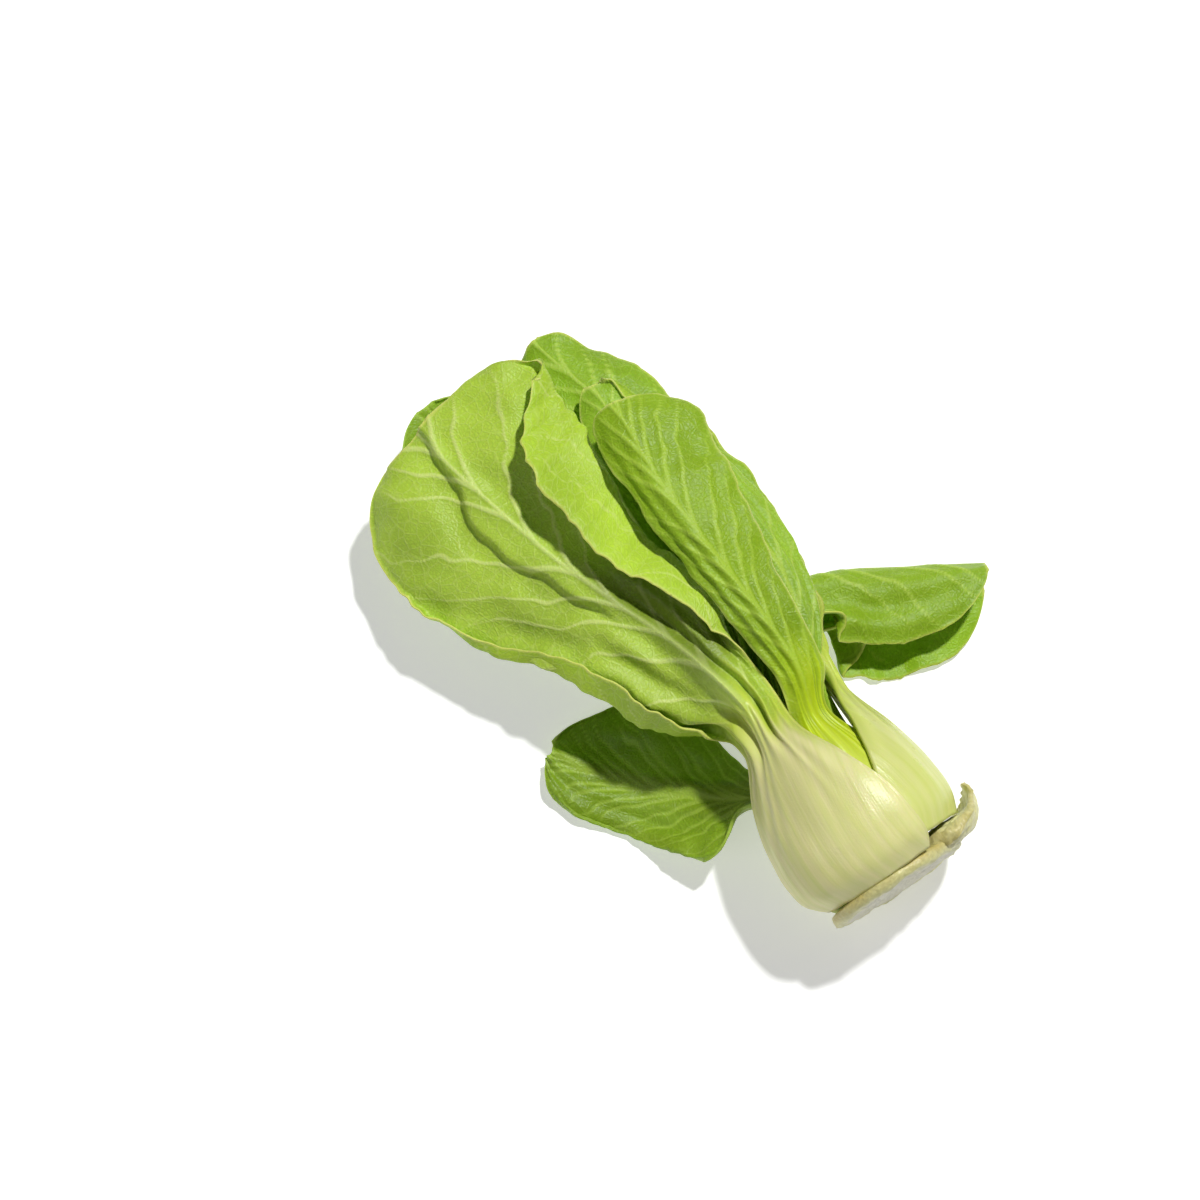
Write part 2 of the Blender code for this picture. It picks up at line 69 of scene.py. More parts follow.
# Radius of the outer stalks' middle surface along the bulb, and a stalk's share of spread and thickness
BULB_ALONG = (-1.9, 0.2, 2.6, 9.0, 18.0, 32.0, 46.0)
BULB_RADIUS = (20.2, 22.4, 24.4, 26.0, 25.6, 22.8, 18.4)
STALK_SPREAD = (1.12, 1.12, 1.1, 1.05, 1.0, 0.82, 0.56)
STALK_BODY = (0.62, 0.72, 0.92, 1.0, 1.0, 0.90, 0.74)

FIRST_ROW_GAP = 1.5

# Stalk edges are thin, and blades thinner
STALK_EDGE = 1.1
BLADE_THICK = 0.5

# A midrib's thickness as a share of its stalk's, then in millimetres, at these shares of the blade
NECK_THICK_SHARE = 0.6
MIDRIB_THICK = (1.95, 0.9)
MIDRIB_THICK_AT = (0.0, 0.4, 1.0)
MIDRIB_HALF = (8.0, 2.5)

# A margin that folds over the leaf's back turns within the first part of its flap: this width
# and share of it, and never more than the last share
CREASE_LEAST = 1.2
CREASE_SHARE = 0.2
CREASE_MOST_SHARE = 0.45
LEAST_FLAP = 1.2
FULL_FOLD_FLAP = 6.0
HINGE_REACH = 9.0

# Over this length the sections turn from the head's axis to the midrib's own direction
BLADE_BLEND = 18.0
TANGENT_REACH = 0.5
LEAST_WIDE = 0.5
TIP_LAST_TURN = math.radians(80)
FLOOR_CLEARANCE = 0.02

# Left edge of a leaf's raised part: length along the leaf, and distance from its midrib
PLATEAU_EDGE = (
    (104.0, -3.5), (118.0, -5.0), (132.0, -6.2), (144.0, -8.8), (154.0, -9.2), (161.0, -7.2),
    (169.0, -3.2), (179.0, -0.8), (190.0, 0.5),
)

# Stretches of a leaf, as a start and a length: ribs, lengthwise ridges, a lifted fold, and the painted
# shade in a hollow beside the midrib
RIBS_RISE = (6.0, 40.0)
RIBS_FADE = (56.0, 34.0)
RIDGES_RISE = (40.0, 25.0)
RIDGES_FADE = (95.0, 60.0)
LIFT_RISE = (70.0, 30.0)
PAINTED_SHADE_RISE = (70.0, 14.0)
PAINTED_SHADE_FADE = (112.0, 22.0)
PAINTED_SHADE_SIDE = (-5.0, 8.0)

# Half a leaf's width in each pattern over its reach, and how far some reliefs go, in millimetres
RIB_SPAN = 20.0
RIDGE_SPAN = 22.0
GREEN_SPAN = 30.0
PANEL_REACH = 4.0
LIFT_REACH = 9.0
# Width of the pale margin line, a painted glow of light through the thin edge
MARGIN_LINE = 0.55
STALK_UNEVEN = 0.12
# Share of the full painted shade that darkens the troughs between the stalk's ribs
RIB_SHADE = 0.4

# The UV map holds distances over the leaf, at this many millimetres to one
UV_SPAN = 250.0

# Columns of the knot rows
FACING, WIDE, CUP, HINGE, FLAP, THICK, EDGE, HALF = 3, 6, 8, 10, 12, 14, 15, 16


class Coordinates(Enum):
    """What a pattern in a material follows."""

    OBJECT = "Object"
    UV = "UV"


class Layer(NamedTuple):
    """One ring of stalks: where it starts, and its radius and thickness."""

    start: float
    share: float
    thick: float


OUTER = Layer(-1.9, 1.0, 5.2)
LAPPED = Layer(2.9, 0.975, 4.6)
SECOND = Layer(4.2, 0.735, 4.2)
INNER = Layer(5.0, 0.52, 3.6)
HEART = Layer(9.0, 0.34, 3.0)


class Knot(NamedTuple):
    """One place on a leaf's midrib, with left and right as seen from the leaf's back."""

    at: Triple
    facing: Triple
    wide: Pair
    cup: Pair = (15.0, 15.0)
    hinge: Pair = (0.0, 0.0)
    flap: Pair = (0.0, 0.0)


def smooth_step(x: Array) -> Array:
    """0 below 0 and 1 above 1, with 3x2 - 2x3 between."""
    x = np.clip(x, 0.0, 1.0)
    return x * x * (3 - 2 * x)


def rise(x: Array, stretch: Pair) -> Array:
    """0 up to a stretch's start and 1 past its length, with a smooth step between."""
    return smooth_step((x - stretch[0]) / stretch[1])


def two_faces(middle: Array, half: Array) -> Array:
    """The points of a sheet's upper face, then those of its lower face, half a thickness off."""
    return np.concatenate([(middle + half).reshape(-1, 3), (middle - half).reshape(-1, 3)])


def radial(degrees: float) -> Array:
    """The direction out from the head's axis, turned to the right from straight up."""
    turn = math.radians(degrees)
    return np.array((0.0, math.sin(turn), math.cos(turn)))


def axis_point(along: float) -> Array:
    """The point of the head's axis at a distance along it."""
    return np.array((along, 0.0, AXIS_UP + along * AXIS_RISE))


def spline(marks: Array, values: Array, places: Array) -> Array:
    """A smooth curve through values at marks, read at places.

    Each stretch is the cubic that has the given ends and slopes, and the slope at a mark is the
    mean of its two neighbours' slopes, weighted by the length of the other one.

    Args:
        marks: rising distances, one for each row of values.
        values: the rows that the curve goes through.
        places: the distances to read it at.

    Returns:
        One row for each place.
    """
    gaps = np.diff(marks)
    slopes = np.diff(values, axis=0) / gaps[:, None]
    inner = (slopes[:-1] * gaps[1:, None] + slopes[1:] * gaps[:-1, None]) / (gaps[1:] + gaps[:-1])[:, None]
    tangents = np.concatenate([slopes[:1], inner, slopes[-1:]])
    cell = np.clip(np.searchsorted(marks, places, side="right") - 1, 0, len(gaps) - 1)
    x = ((places - marks[cell]) / gaps[cell])[:, None]
    gap = gaps[cell][:, None]
    return (
        (1 + 2 * x) * (1 - x) ** 2 * values[cell]
        + x * (1 - x) ** 2 * gap * tangents[cell]
        + x * x * (3 - 2 * x) * values[cell + 1]
        + x * x * (x - 1) * gap * tangents[cell + 1]
    )


def ripple(x: Array, y: Array, period: float, seed: int, waves: int = 7) -> Array:
    """Smooth unevenness over a plane: the mean of a few sines that run in seeded directions.

    Args:
        x: first coordinate of each point.
        y: second coordinate of each point.
        period: rough distance between two crests.
        seed: picks the directions, periods and phases.
        waves: how many sines are added.

    Returns:
        Values of about -1 to 1, in the shape of x.
    """
    draw = np.random.default_rng(seed)
    turns = draw.uniform(0, 2 * math.pi, waves)
    rates = 2 * math.pi / (period * draw.uniform(0.7, 1.5, waves))
    phases = draw.uniform(0, 2 * math.pi, waves)
    total = sum(
        np.sin(rate * (x * math.cos(turn) + y * math.sin(turn)) + phase)
        for turn, rate, phase in zip(turns, rates, phases)
    )
    return total / math.sqrt(waves)


@dataclass(frozen=True)
class Veins:
    """The side veins: places, slants and sizes in millimetres along and across the leaf."""

    spacing: float = 15.0
    slope: float = 0.95
    bend: float = 26.0
    first: float = 22.0
    height: float = 0.42
    width: float = 0.62
    wander: float = 2.6


@dataclass(frozen=True)
class Relief:
    """Unevenness of a leaf: heights in millimetres, but for two.

    The ribs are a count over half the stalk, and hollow is the share of painted shade that darkens
    the part beside the midrib. Pucker sinks the panels between veins, a ridge runs lengthwise into
    the blade, and lift raises the margin of a folded part off the leaf.
    """

    ribs: float = 3.4
    rib_height: float = 0.5
    pucker: float = 0.3
    crumple: float = 0.7
    frill: float = 0.8
    ridge: float = 1.1
    plateau: float = 0.0
    lift: float = 0.0
    # Strength of the painted shade beside the midrib
    hollow: float = 0.0


def plateau(grid: "LeafGrid") -> Array:
    """Height share of a raised part of a leaf: a lip along its left edge, over a hollow.

    Args:
        grid: the leaf's middle surface.

    Returns:
        About 1 on the lip, falling to 0 behind it and below 0 in the hollow.
    """
    lengths, outs = np.array(PLATEAU_EDGE).T
    edge = np.interp(grid.along, lengths, outs) + 0.5 * np.sin(grid.along / 2.9)
    past = grid.run - edge
    lip = smooth_step(past / 2.2 + 0.5) * (1 - 0.7 * smooth_step(past / 24))
    hollow = np.exp(-(((past + 4) / 5) ** 2)) * (past < 0)
    hollow = hollow + np.exp(-((4 / 5) ** 2)) * (past >= 0) * np.exp(-past)
    return (lip - 0.4 * hollow) * smooth_step((grid.along - lengths[0]) / 14) * (1 - grid.fold)


@dataclass(frozen=True)
class LeafFinish:
    """Colours of a leaf, from its pale stalk to its blade's two faces, and how its surface shines."""

    slot: str
    stalk: Colour
    neck: Colour
    back: Colour
    front: Colour
    vein: Colour
    # Pale line along the blade's edge: painted glow of light shining through the thin margin
    margin: Colour
    # Folded flaps: a brighter yellow-green, painted glow of light through the folded part
    fold: Colour
    green_from: float
    green_length: float
    blade_roughness: float = 0.46
    stalk_roughness: float = 0.3


def normals(grid: Array) -> Array:
    """Unit normals on the leaf's back: the product of the grid's two directions at each point."""
    normal = np.cross(np.gradient(grid, axis=0), np.gradient(grid, axis=1))
    return normal / np.maximum(np.linalg.norm(normal, axis=2), 1e-9)[:, :, None]


@dataclass
class LeafGrid:
    """A leaf's middle surface as a grid, with what its relief and colours follow."""

    middle: Array
    thick: Array
    along: Array
    run: Array
    reach: Array
    blade: Array
    fold: Array
    margin: Array


class Graph:
    """A material's node tree, with short calls for the nodes that the finishes use."""

    def __init__(self, name: str) -> None:
        """Makes an empty Principled material of this name.

        Args:
            name: the material's name.
        """
        self.material = bpy.data.materials.new(name)
        self.material.use_nodes = True
        self.tree = self.material.node_tree
        self.shader = self.tree.nodes["Principled BSDF"]
        self.coordinates = self.tree.nodes.new("ShaderNodeTexCoord")

    def link(self, source: Socket | float | Colour, target: Socket) -> None:
        """Feeds a socket from another socket, or sets it to a number or a colour.

        Args:
            source: the socket, number or colour.
            target: the socket that takes it.
        """
        if isinstance(source, bpy.types.NodeSocket):
            self.tree.links.new(source, target)
        elif isinstance(source, tuple):
            target.default_value = (*source, 1.0)[: len(target.default_value)]
        else:
            target.default_value = source

    def attribute(self, name: str) -> Socket:
        """A value stored on the mesh's points.

        Args:
            name: the attribute's name.

        Returns:
            The value's socket.
        """
        node = self.tree.nodes.new("ShaderNodeAttribute")
        node.attribute_name = name
        return node.outputs["Fac"]

    def place(self, follows: Coordinates, stretch: Triple = (1.0, 1.0, 1.0)) -> Socket:
        """The coordinates that a pattern follows, each multiplied by its stretch.

        Args:
            follows: the kind of coordinates.
            stretch: a factor for each axis.

        Returns:
            The coordinates' socket.
        """
        node = self.tree.nodes.new("ShaderNodeMapping")
        self.tree.links.new(self.coordinates.outputs[follows.value], node.inputs["Vector"])
        node.inputs["Scale"].default_value = stretch
        return node.outputs["Vector"]

    def noise(self, place: Socket, scale: float, detail: float = 3.0) -> Socket:
        """Fractal noise between 0 and 1.

        Args:
            place: the coordinates that the pattern follows.
            scale: how many bumps fit in a unit.
            detail: how many finer layers it has.

        Returns:
            The noise's socket.
        """
        node = self.tree.nodes.new("ShaderNodeTexNoise")
        self.tree.links.new(place, node.inputs["Vector"])
        node.inputs["Scale"].default_value = scale
        node.inputs["Detail"].default_value = detail
        return node.outputs["Fac"]

    def cell_edges(self, place: Socket, scale: float) -> Socket:
        """Distance from the nearest edge between cells, as in a net of fine veins.

        Args:
            place: the coordinates that the pattern follows.
            scale: how many cells fit in a unit.

        Returns:
            The distance's socket.
        """
        node = self.tree.nodes.new("ShaderNodeTexVoronoi")
        node.feature = "DISTANCE_TO_EDGE"
        self.tree.links.new(place, node.inputs["Vector"])
        node.inputs["Scale"].default_value = scale
        return node.outputs["Distance"]

    def ranged(self, value: Socket, low: float, high: float, to_low: float, to_high: float) -> Socket:
        """A value's range low to high carried to another range, and held at its ends.

        Args:
            value: the value.
            low: the range's start.
            high: the range's end.
            to_low: what its start becomes.
            to_high: what its end becomes.

        Returns:
            The new value's socket.
        """
        node = self.tree.nodes.new("ShaderNodeMapRange")
        self.tree.links.new(value, node.inputs["Value"])
        for name, number in (("From Min", low), ("From Max", high), ("To Min", to_low), ("To Max", to_high)):
            node.inputs[name].default_value = number
        return node.outputs["Result"]

    def math(self, operation: str, first: Socket | float, second: Socket | float) -> Socket:
        """Two numbers added, multiplied or compared.

        Args:
            operation: the node's name for it.
            first: one number.
            second: the other.

        Returns:
            The result's socket.
        """
        node = self.tree.nodes.new("ShaderNodeMath")
        node.operation = operation
        self.link(first, node.inputs[0])
        self.link(second, node.inputs[1])
        return node.outputs["Value"]

    def mix(self, share: Socket | float, first: Socket | Colour, second: Socket | Colour) -> Socket:
        """The first colour where share is 0, and the second where it is 1.

        Args:
            share: the second colour's share.
            first: one colour.
            second: the other.

        Returns:
            The mixed colour's socket.
        """
        node = self.tree.nodes.new("ShaderNodeMix")
        node.data_type = "RGBA"
        self.link(share, node.inputs["Factor"])
        self.link(first, node.inputs[6])
        self.link(second, node.inputs[7])
        return node.outputs[2]

    def brightened(self, colour: Socket | Colour, factor: Socket) -> Socket:
        """A colour with its brightness multiplied by a factor.

        Args:
            colour: the colour.
            factor: the factor.

        Returns:
            The new colour's socket.
        """
        node = self.tree.nodes.new("ShaderNodeHueSaturation")
        self.link(colour, node.inputs["Color"])
        self.link(factor, node.inputs["Value"])
        return node.outputs["Color"]

    def bump(self, height: Socket, distance: float, strength: float, below: Socket | None = None) -> Socket:
        """A surface normal tilted by a height, on top of another bump where one is given.

        Args:
            height: the height's socket.
            distance: what a height of 1 stands for, in metres.
            strength: the share of the tilt that is kept.
            below: the bump under this one, if any.

        Returns:
            The normal's socket.
        """
        node = self.tree.nodes.new("ShaderNodeBump")
        node.inputs["Distance"].default_value = distance
        node.inputs["Strength"].default_value = strength
        self.tree.links.new(height, node.inputs["Height"])
        if below is not None:
            self.tree.links.new(below, node.inputs["Normal"])
        return node.outputs["Normal"]


def leaf_material(name: str, finish: LeafFinish) -> bpy.types.Material:
    """A leaf's material: cream stalk, yellow-green neck, and a blade with a paler back.

    The share of green rises along the leaf and comes with the mesh. Fine streaks run lengthwise on
    the stalk. The blade has a net of fine veins in two sizes, as edges between cells, and soft
    blotches. Veins, folds and the margin's line are shares stored on the mesh's points. Folded
    flaps get a brighter yellow-green and the margin a pale line, both painted glow of light through
    the thin leaf. A stored share of painted shade darkens the troughs between the stalk's ribs and
    the part beside the midrib.

    Args:
        name: name for the material.
        finish: the leaf's colours and roughness.

    Returns:
        The material.
    """
    graph = Graph(name)
    green, back = graph.attribute("green"), graph.attribute("back")
    vein, margin, fold = graph.attribute("vein"), graph.attribute("margin"), graph.attribute("fold")
    # Painted shade: a stored share that darkens the stalk's rib troughs and the part beside the midrib
    painted_shade = graph.attribute("painted_shade")
    flat = graph.place(Coordinates.UV)
    lengthwise = graph.place(Coordinates.UV, (1.0, 0.06, 1.0))
    solid = graph.place(Coordinates.OBJECT)

    blotch = graph.noise(solid, 42.0, 4.0)
    grain = graph.noise(solid, 1500.0, 2.0)
    streak = graph.noise(lengthwise, 130.0, 4.0)
    net_wide = graph.cell_edges(flat, 75.0)
    net_fine = graph.cell_edges(flat, 210.0)
    net_line = graph.ranged(net_wide, 0.0, 0.09, 1.0, 0.0)
    net_dot = graph.ranged(net_fine, 0.0, 0.3, 0.0, 1.0)

    blade = graph.mix(back, finish.front, finish.back)
    # Folded flaps: painted glow of light through the flap, in a brighter yellow-green than the front
    blade = graph.mix(graph.math("MULTIPLY", fold, 0.85), blade, finish.fold)
    blade = graph.brightened(blade, graph.ranged(blotch, 0.3, 0.7, 0.84, 1.16))
    blade = graph.brightened(blade, graph.ranged(net_dot, 0.0, 1.0, 0.93, 1.04))
    blade = graph.mix(graph.math("MULTIPLY", net_line, 0.2), blade, finish.vein)
    blade = graph.mix(graph.ranged(vein, 0.22, 0.7, 0.0, 0.72), blade, finish.vein)

    stalk = graph.mix(graph.ranged(streak, 0.35, 0.72, 0.0, 0.4), finish.stalk, finish.neck)
    neck = graph.brightened(finish.neck, graph.ranged(streak, 0.3, 0.7, 0.8, 1.15))
    lower = graph.mix(graph.ranged(green, 0.0, 0.5, 0.0, 1.0), stalk, neck)
    colour = graph.mix(graph.ranged(green, 0.45, 1.0, 0.0, 1.0), lower, blade)
    # Painted shade, down to half the brightness
    colour = graph.brightened(colour, graph.ranged(painted_shade, 0.0, 1.0, 1.0, 0.5))
    # Pale margin line: painted glow of light shining through the thin edge
    colour = graph.mix(graph.math("MULTIPLY", margin, 0.75), colour, finish.margin)
    graph.link(colour, graph.shader.inputs["Base Color"])

    rough = graph.ranged(green, 0.2, 0.9, finish.stalk_roughness, finish.blade_roughness)
    rough = graph.math("ADD", rough, graph.ranged(blotch, 0.3, 0.7, -0.05, 0.07))
    graph.link(rough, graph.shader.inputs["Roughness"])

    in_blade = graph.ranged(green, 0.4, 1.0, 0.0, 1.0)
    net_height = graph.math("MULTIPLY", graph.math("ADD", net_dot, net_line), in_blade)
    streak_height = graph.math("MULTIPLY", streak, graph.ranged(green, 0.3, 1.0, 1.0, 0.0))
    fine = graph.bump(grain, 0.0002, 0.25)
    veined = graph.bump(net_height, 0.0002, 0.35, fine)
    graph.link(graph.bump(streak_height, 0.0006, 0.4, veined), graph.shader.inputs["Normal"])

    graph.shader.inputs["Specular IOR Level"].default_value = 0.32
    graph.shader.inputs["Subsurface Weight"].default_value = 0.15
    graph.shader.inputs["Subsurface Radius"].default_value = (0.6, 1.0, 0.1)
    graph.shader.inputs["Subsurface Scale"].default_value = 0.003
    return graph.material


def to_world(points: Array) -> Array:
    """From along, across and up in millimetres to the scene's metres."""
    return (points - (REST_ALONG, 0.0, 0.0)) * (MM, -MM, MM)


def grid_faces(rows: int, columns: int) -> NDArray[np.int64]:
    """Squares between neighbouring rows and columns of a grid of points, as rows of four indices."""
    index = np.arange(rows * columns).reshape(rows, columns)
    return np.stack([index[:-1, :-1], index[1:, :-1], index[1:, 1:], index[:-1, 1:]], -1).reshape(-1, 4)


def closed_sheet(rows: int, columns: int) -> NDArray[np.int64]:
    """Faces of a sheet whose second side follows the first in the list of points, rim included.

    Args:
        rows: rows of points in each side.
        columns: points in a row.

    Returns:
        The faces, as rows of four indices.
    """
    first = grid_faces(rows, columns)
    second = first[:, ::-1] + rows * columns
    index = np.arange(rows * columns).reshape(rows, columns)
    rim = np.concatenate([index[0, :], index[1:, -1], index[-1, -2::-1], index[-2:0:-1, 0]])
    after = np.roll(rim, -1)
    far = rows * columns
    return np.concatenate([first, second, np.stack([rim, after, after + far, rim + far], -1)])


def add_piece(
    name: str,
    points: Array,
    faces: NDArray[np.int64],
    material: bpy.types.Material,
    shares: dict[str, Array],
    uv: Array | None = None,
) -> bpy.types.Object:
    """Makes an object at the origin from points in the head's millimetres and four-sided faces.

    Args:
        name: the piece's name.
        points: one row for each point.
        faces: rows of four point indices.
        material: the piece's material.
        shares: values to store on the points, by name.
        uv: a pair for each point, or nothing.

    Returns:
        The linked object, with its faces pointing outwards.
    """
    world = to_world(points)
    corners = world[faces]
    volume = np.einsum("ij,ij->", corners[:, 0], np.cross(corners[:, 1], corners[:, 2]))
    volume += np.einsum("ij,ij->", corners[:, 0], np.cross(corners[:, 2], corners[:, 3]))
    faces = faces if volume > 0 else faces[:, ::-1]
    mesh = bpy.data.meshes.new(name)
    mesh.vertices.add(len(world))
    mesh.vertices.foreach_set("co", world.astype(np.float32).ravel())
    mesh.loops.add(faces.size)
    mesh.loops.foreach_set("vertex_index", faces.astype(np.int32).ravel())
    mesh.polygons.add(len(faces))
    mesh.polygons.foreach_set("loop_start", np.arange(0, faces.size, 4, dtype=np.int32))
    for label, values in shares.items():
        layer = mesh.attributes.new(label, "FLOAT", "POINT")
        layer.data.foreach_set("value", values.astype(np.float32).ravel())
    if uv is not None:
        layer = mesh.uv_layers.new(name="Surface")
        layer.data.foreach_set("uv", uv[faces.ravel()].astype(np.float32).ravel())
    mesh.materials.append(material)
    mesh.update(calc_edges=True)
    mesh.validate()
    mesh.shade_smooth()
    piece = bpy.data.objects.new(name, mesh)
    bpy.context.scene.collection.objects.link(piece)
    return piece


@dataclass(frozen=True)
class Leaf:
    """One leaf: its stalk's place in the bulb, its blade's knots, its relief and its finish."""

    name: str
    node: str
    layer: Layer
    angle: float
    spread: Pair
    blade: tuple[Knot, ...]
    finish: LeafFinish
    tuck: Pair = (0.0, 0.0)
    last_stalk: float = 46.0
    fold: Pair = (150.0, 150.0)
    tip_length: float = 14.0
    tip_square: float = 0.8
    wave: float = 1.0
    wave_turns: float = 3.5
    veins: Veins = field(default_factory=Veins)
    relief: Relief = field(default_factory=Relief)
    rows: tuple[int, int, int] = (44, 90, 18)
    columns: tuple[int, int, int] = (34, 8, 12)
    seed: int = 1

    def stalk_knots(self) -> list[list[float]]:
        """Knot rows along the stalk, which wraps round the head's axis as an arc of a circle.

        Returns:
            Rows of place, facing, and the left and right width, cup, hinge and flap, then thickness.
        """
        rows = []
        places = [a for a in BULB_ALONG if self.layer.start + FIRST_ROW_GAP < a <= self.last_stalk]
        for along in [self.layer.start, *places]:
            radius = np.interp(along, BULB_ALONG, BULB_RADIUS) * self.layer.share
            share = np.interp(along, BULB_ALONG, STALK_SPREAD)
            spread = np.array(self.spread) * share
            wide = np.radians(spread) * radius
            cup = spread + np.array(self.tuck) * share
            at = axis_point(along) + radius * radial(self.angle)
            grown = along - self.layer.start + BULB_ALONG[0]
            thick = self.layer.thick * min(np.interp((along, grown), BULB_ALONG, STALK_BODY))
            rows.append([*at, *radial(self.angle), *wide, *cup, 0, 0, 0, 0, thick, STALK_EDGE, max(wide)])
        return rows

    def blade_knots(self) -> list[list[float]]:
        """Knot rows along the blade, whose midrib thins towards the tip."""
        rows = []
        for i, knot in enumerate(self.blade):
            done = i / (len(self.blade) - 1)
            thick = np.interp(done, MIDRIB_THICK_AT, (self.layer.thick * NECK_THICK_SHARE, *MIDRIB_THICK))
            half = np.interp(done, (0, 1), MIDRIB_HALF)
            facing = np.array(knot.facing) / np.linalg.norm(knot.facing)
            edge = np.interp(i, (0, 1), (STALK_EDGE, BLADE_THICK))
            turns = (*knot.cup, *knot.hinge, *knot.flap)
            rows.append([*knot.at, *facing, *knot.wide, *turns, thick, edge, half])
        return rows

    def half(self, side: int, row: Array) -> tuple[Array, Array, Array, Array, Array]:
        """Places across one half of the leaf, out along the side and down from the back.

        The half leaves the midrib at right angles to the back. Its direction turns by the hinge
        angle near the midrib, by the cup angle evenly over its body, and back over the leaf by the
        fold angle in the crease. The places are the sums of the short steps in that direction.

        Args:
            side: 0 for the left half and 1 for the right half.
            row: knot rows at every grid row.

        Returns:
            Out, down, run over the surface, the share of the body's width, and the share of fold.
        """
        wide, cup, hinge, flap = (row[:, k + side][:, None] for k in (WIDE, CUP, HINGE, FLAP))
        folded = flap.max() > 0
        flap = np.maximum(flap, LEAST_FLAP) if folded else flap
        body = wide - flap
        crease = np.minimum(CREASE_LEAST + flap * CREASE_SHARE, flap * CREASE_MOST_SHARE)
        in_body, in_crease, in_flap = self.columns
        share = np.linspace(0, 1, in_body + 1)
        run, turned = body * share, np.zeros((len(row), in_body + 1))
        if folded:
            bent = np.linspace(0, 1, in_crease + 1)[1:]
            last = np.linspace(0, 1, in_flap + 1)[1:]
            run = np.hstack([run, body + crease * bent, body + crease + (flap - crease) * last])
            turned = np.hstack([turned, flap * 0 + smooth_step(bent), flap * 0 + last * 0 + 1])
        full = np.radians(self.fold[side]) * smooth_step(flap / FULL_FOLD_FLAP)
        turn = np.radians(hinge) * smooth_step(run / HINGE_REACH)
        turn = turn + np.radians(cup) * np.minimum(run / body, 1) - full * turned
        steps, middle = np.diff(run, axis=1), (turn[:, 1:] + turn[:, :-1]) / 2
        start = np.zeros((len(row), 1))
        out = np.hstack([start, np.cumsum(steps * np.cos(middle), axis=1)])
        down = np.hstack([start, np.cumsum(steps * np.sin(middle), axis=1)])
        return out, down, run, np.minimum(run / np.maximum(body, 1), 1), turned * smooth_step(flap / 3 - 0.5)

    def grid(self) -> LeafGrid:
        """The leaf's middle surface, from its stalk's and its blade's knots."""
        stalk = self.stalk_knots()
        return self.laid_out(np.array(stalk + self.blade_knots()), len(stalk))

    def laid_out(self, knots: Array, in_stalk: int) -> LeafGrid:
        """A middle surface over knots.

        A curve runs through the knots. In the stalk each row stands square to the head's axis and
        in the blade square to the midrib, with a smooth change between them. The two halves are
        laid out in the row's plane, and a wave along the margin is added to each.

        Args:
            knots: the knot rows.
            in_stalk: how many of them are in the stalk.

        Returns:
            The grid of points, with thickness and the shares that relief and colours follow.
        """
        marks = np.concatenate([[0], np.cumsum(np.linalg.norm(np.diff(knots[:, :3], axis=0), axis=1))])
        stalk_end, length = marks[in_stalk - 1], marks[-1]
        tip_start = length - self.tip_length
        turns = np.linspace(0, TIP_LAST_TURN, self.rows[2] + 1)
        places = np.concatenate([
            np.linspace(0, stalk_end, self.rows[0], endpoint=False),
            np.linspace(stalk_end, tip_start, self.rows[1], endpoint=False),
            tip_start + self.tip_length * np.sin(turns),
        ])
        narrow = np.concatenate([np.ones(self.rows[0] + self.rows[1]), np.cos(turns) ** self.tip_square])
        row = spline(marks, knots, places)
        ahead = spline(marks, knots[:, :3], np.minimum(places + TANGENT_REACH, length))
        tangent = ahead - spline(marks, knots[:, :3], np.maximum(places - TANGENT_REACH, 0))
        tangent /= np.linalg.norm(tangent, axis=1)[:, None]
        blade_share = smooth_step((places - stalk_end) / BLADE_BLEND)
        tangent = HEAD_AXIS + (tangent - HEAD_AXIS) * blade_share[:, None]
        tangent /= np.linalg.norm(tangent, axis=1)[:, None]
        facing = row[:, FACING : FACING + 3]
        back = facing - tangent * (facing * tangent).sum(axis=1)[:, None]
        back /= np.linalg.norm(back, axis=1)[:, None]
        # The head's directions are left-handed, so this product points to the leaf's right
        right = np.cross(back, tangent)
        uneven = 0.012 * ripple(places, places * 0, 11, self.seed)
        uneven = 1 + blade_share * (uneven + 0.006 * ripple(places, places * 0, 3.4, self.seed + 1))
        row[:, WIDE : WIDE + 2] = np.maximum(row[:, WIDE : WIDE + 2], LEAST_WIDE) * (narrow * uneven)[:, None]
        row[:, FLAP : FLAP + 2] = np.maximum(row[:, FLAP : FLAP + 2], 0) * narrow[:, None]

        halves = []
        for side, sign in ((0, -1), (1, 1)):
            out, down, run, reach, fold = self.half(side, row)
            phase = 2 * math.pi * self.wave_turns * places / length + sign
            down = down + self.wave * (blade_share * np.sin(phase))[:, None] * reach**2
            sideways = sign * out[:, :, None] * right[:, None]
            place = row[:, None, :3] + sideways - down[:, :, None] * back[:, None]
            thick, edge, half_width = (row[:, k : k + 1] for k in (THICK, EDGE, HALF))
            body = edge + (thick - edge) * np.clip(1 - (run / half_width) ** 2, 0, 1)
            margin = run[:, -1:] - run
            halves.append((place, body, sign * run, sign * reach, fold, margin))
        joined = [np.concatenate([a[:, :0:-1], b], axis=1) for a, b in zip(*halves)]
        middle, thick, run, reach, fold, margin = joined
        along = np.broadcast_to(places[:, None], run.shape)
        blade = np.broadcast_to(blade_share[:, None], run.shape)
        tip = (length - self.tip_length * (1 - math.sin(TIP_LAST_TURN))) - along
        margin = np.where(blade > 0, np.minimum(margin, np.maximum(tip, 0)), margin)
        return LeafGrid(middle, thick, along, run, reach, blade, fold, margin)

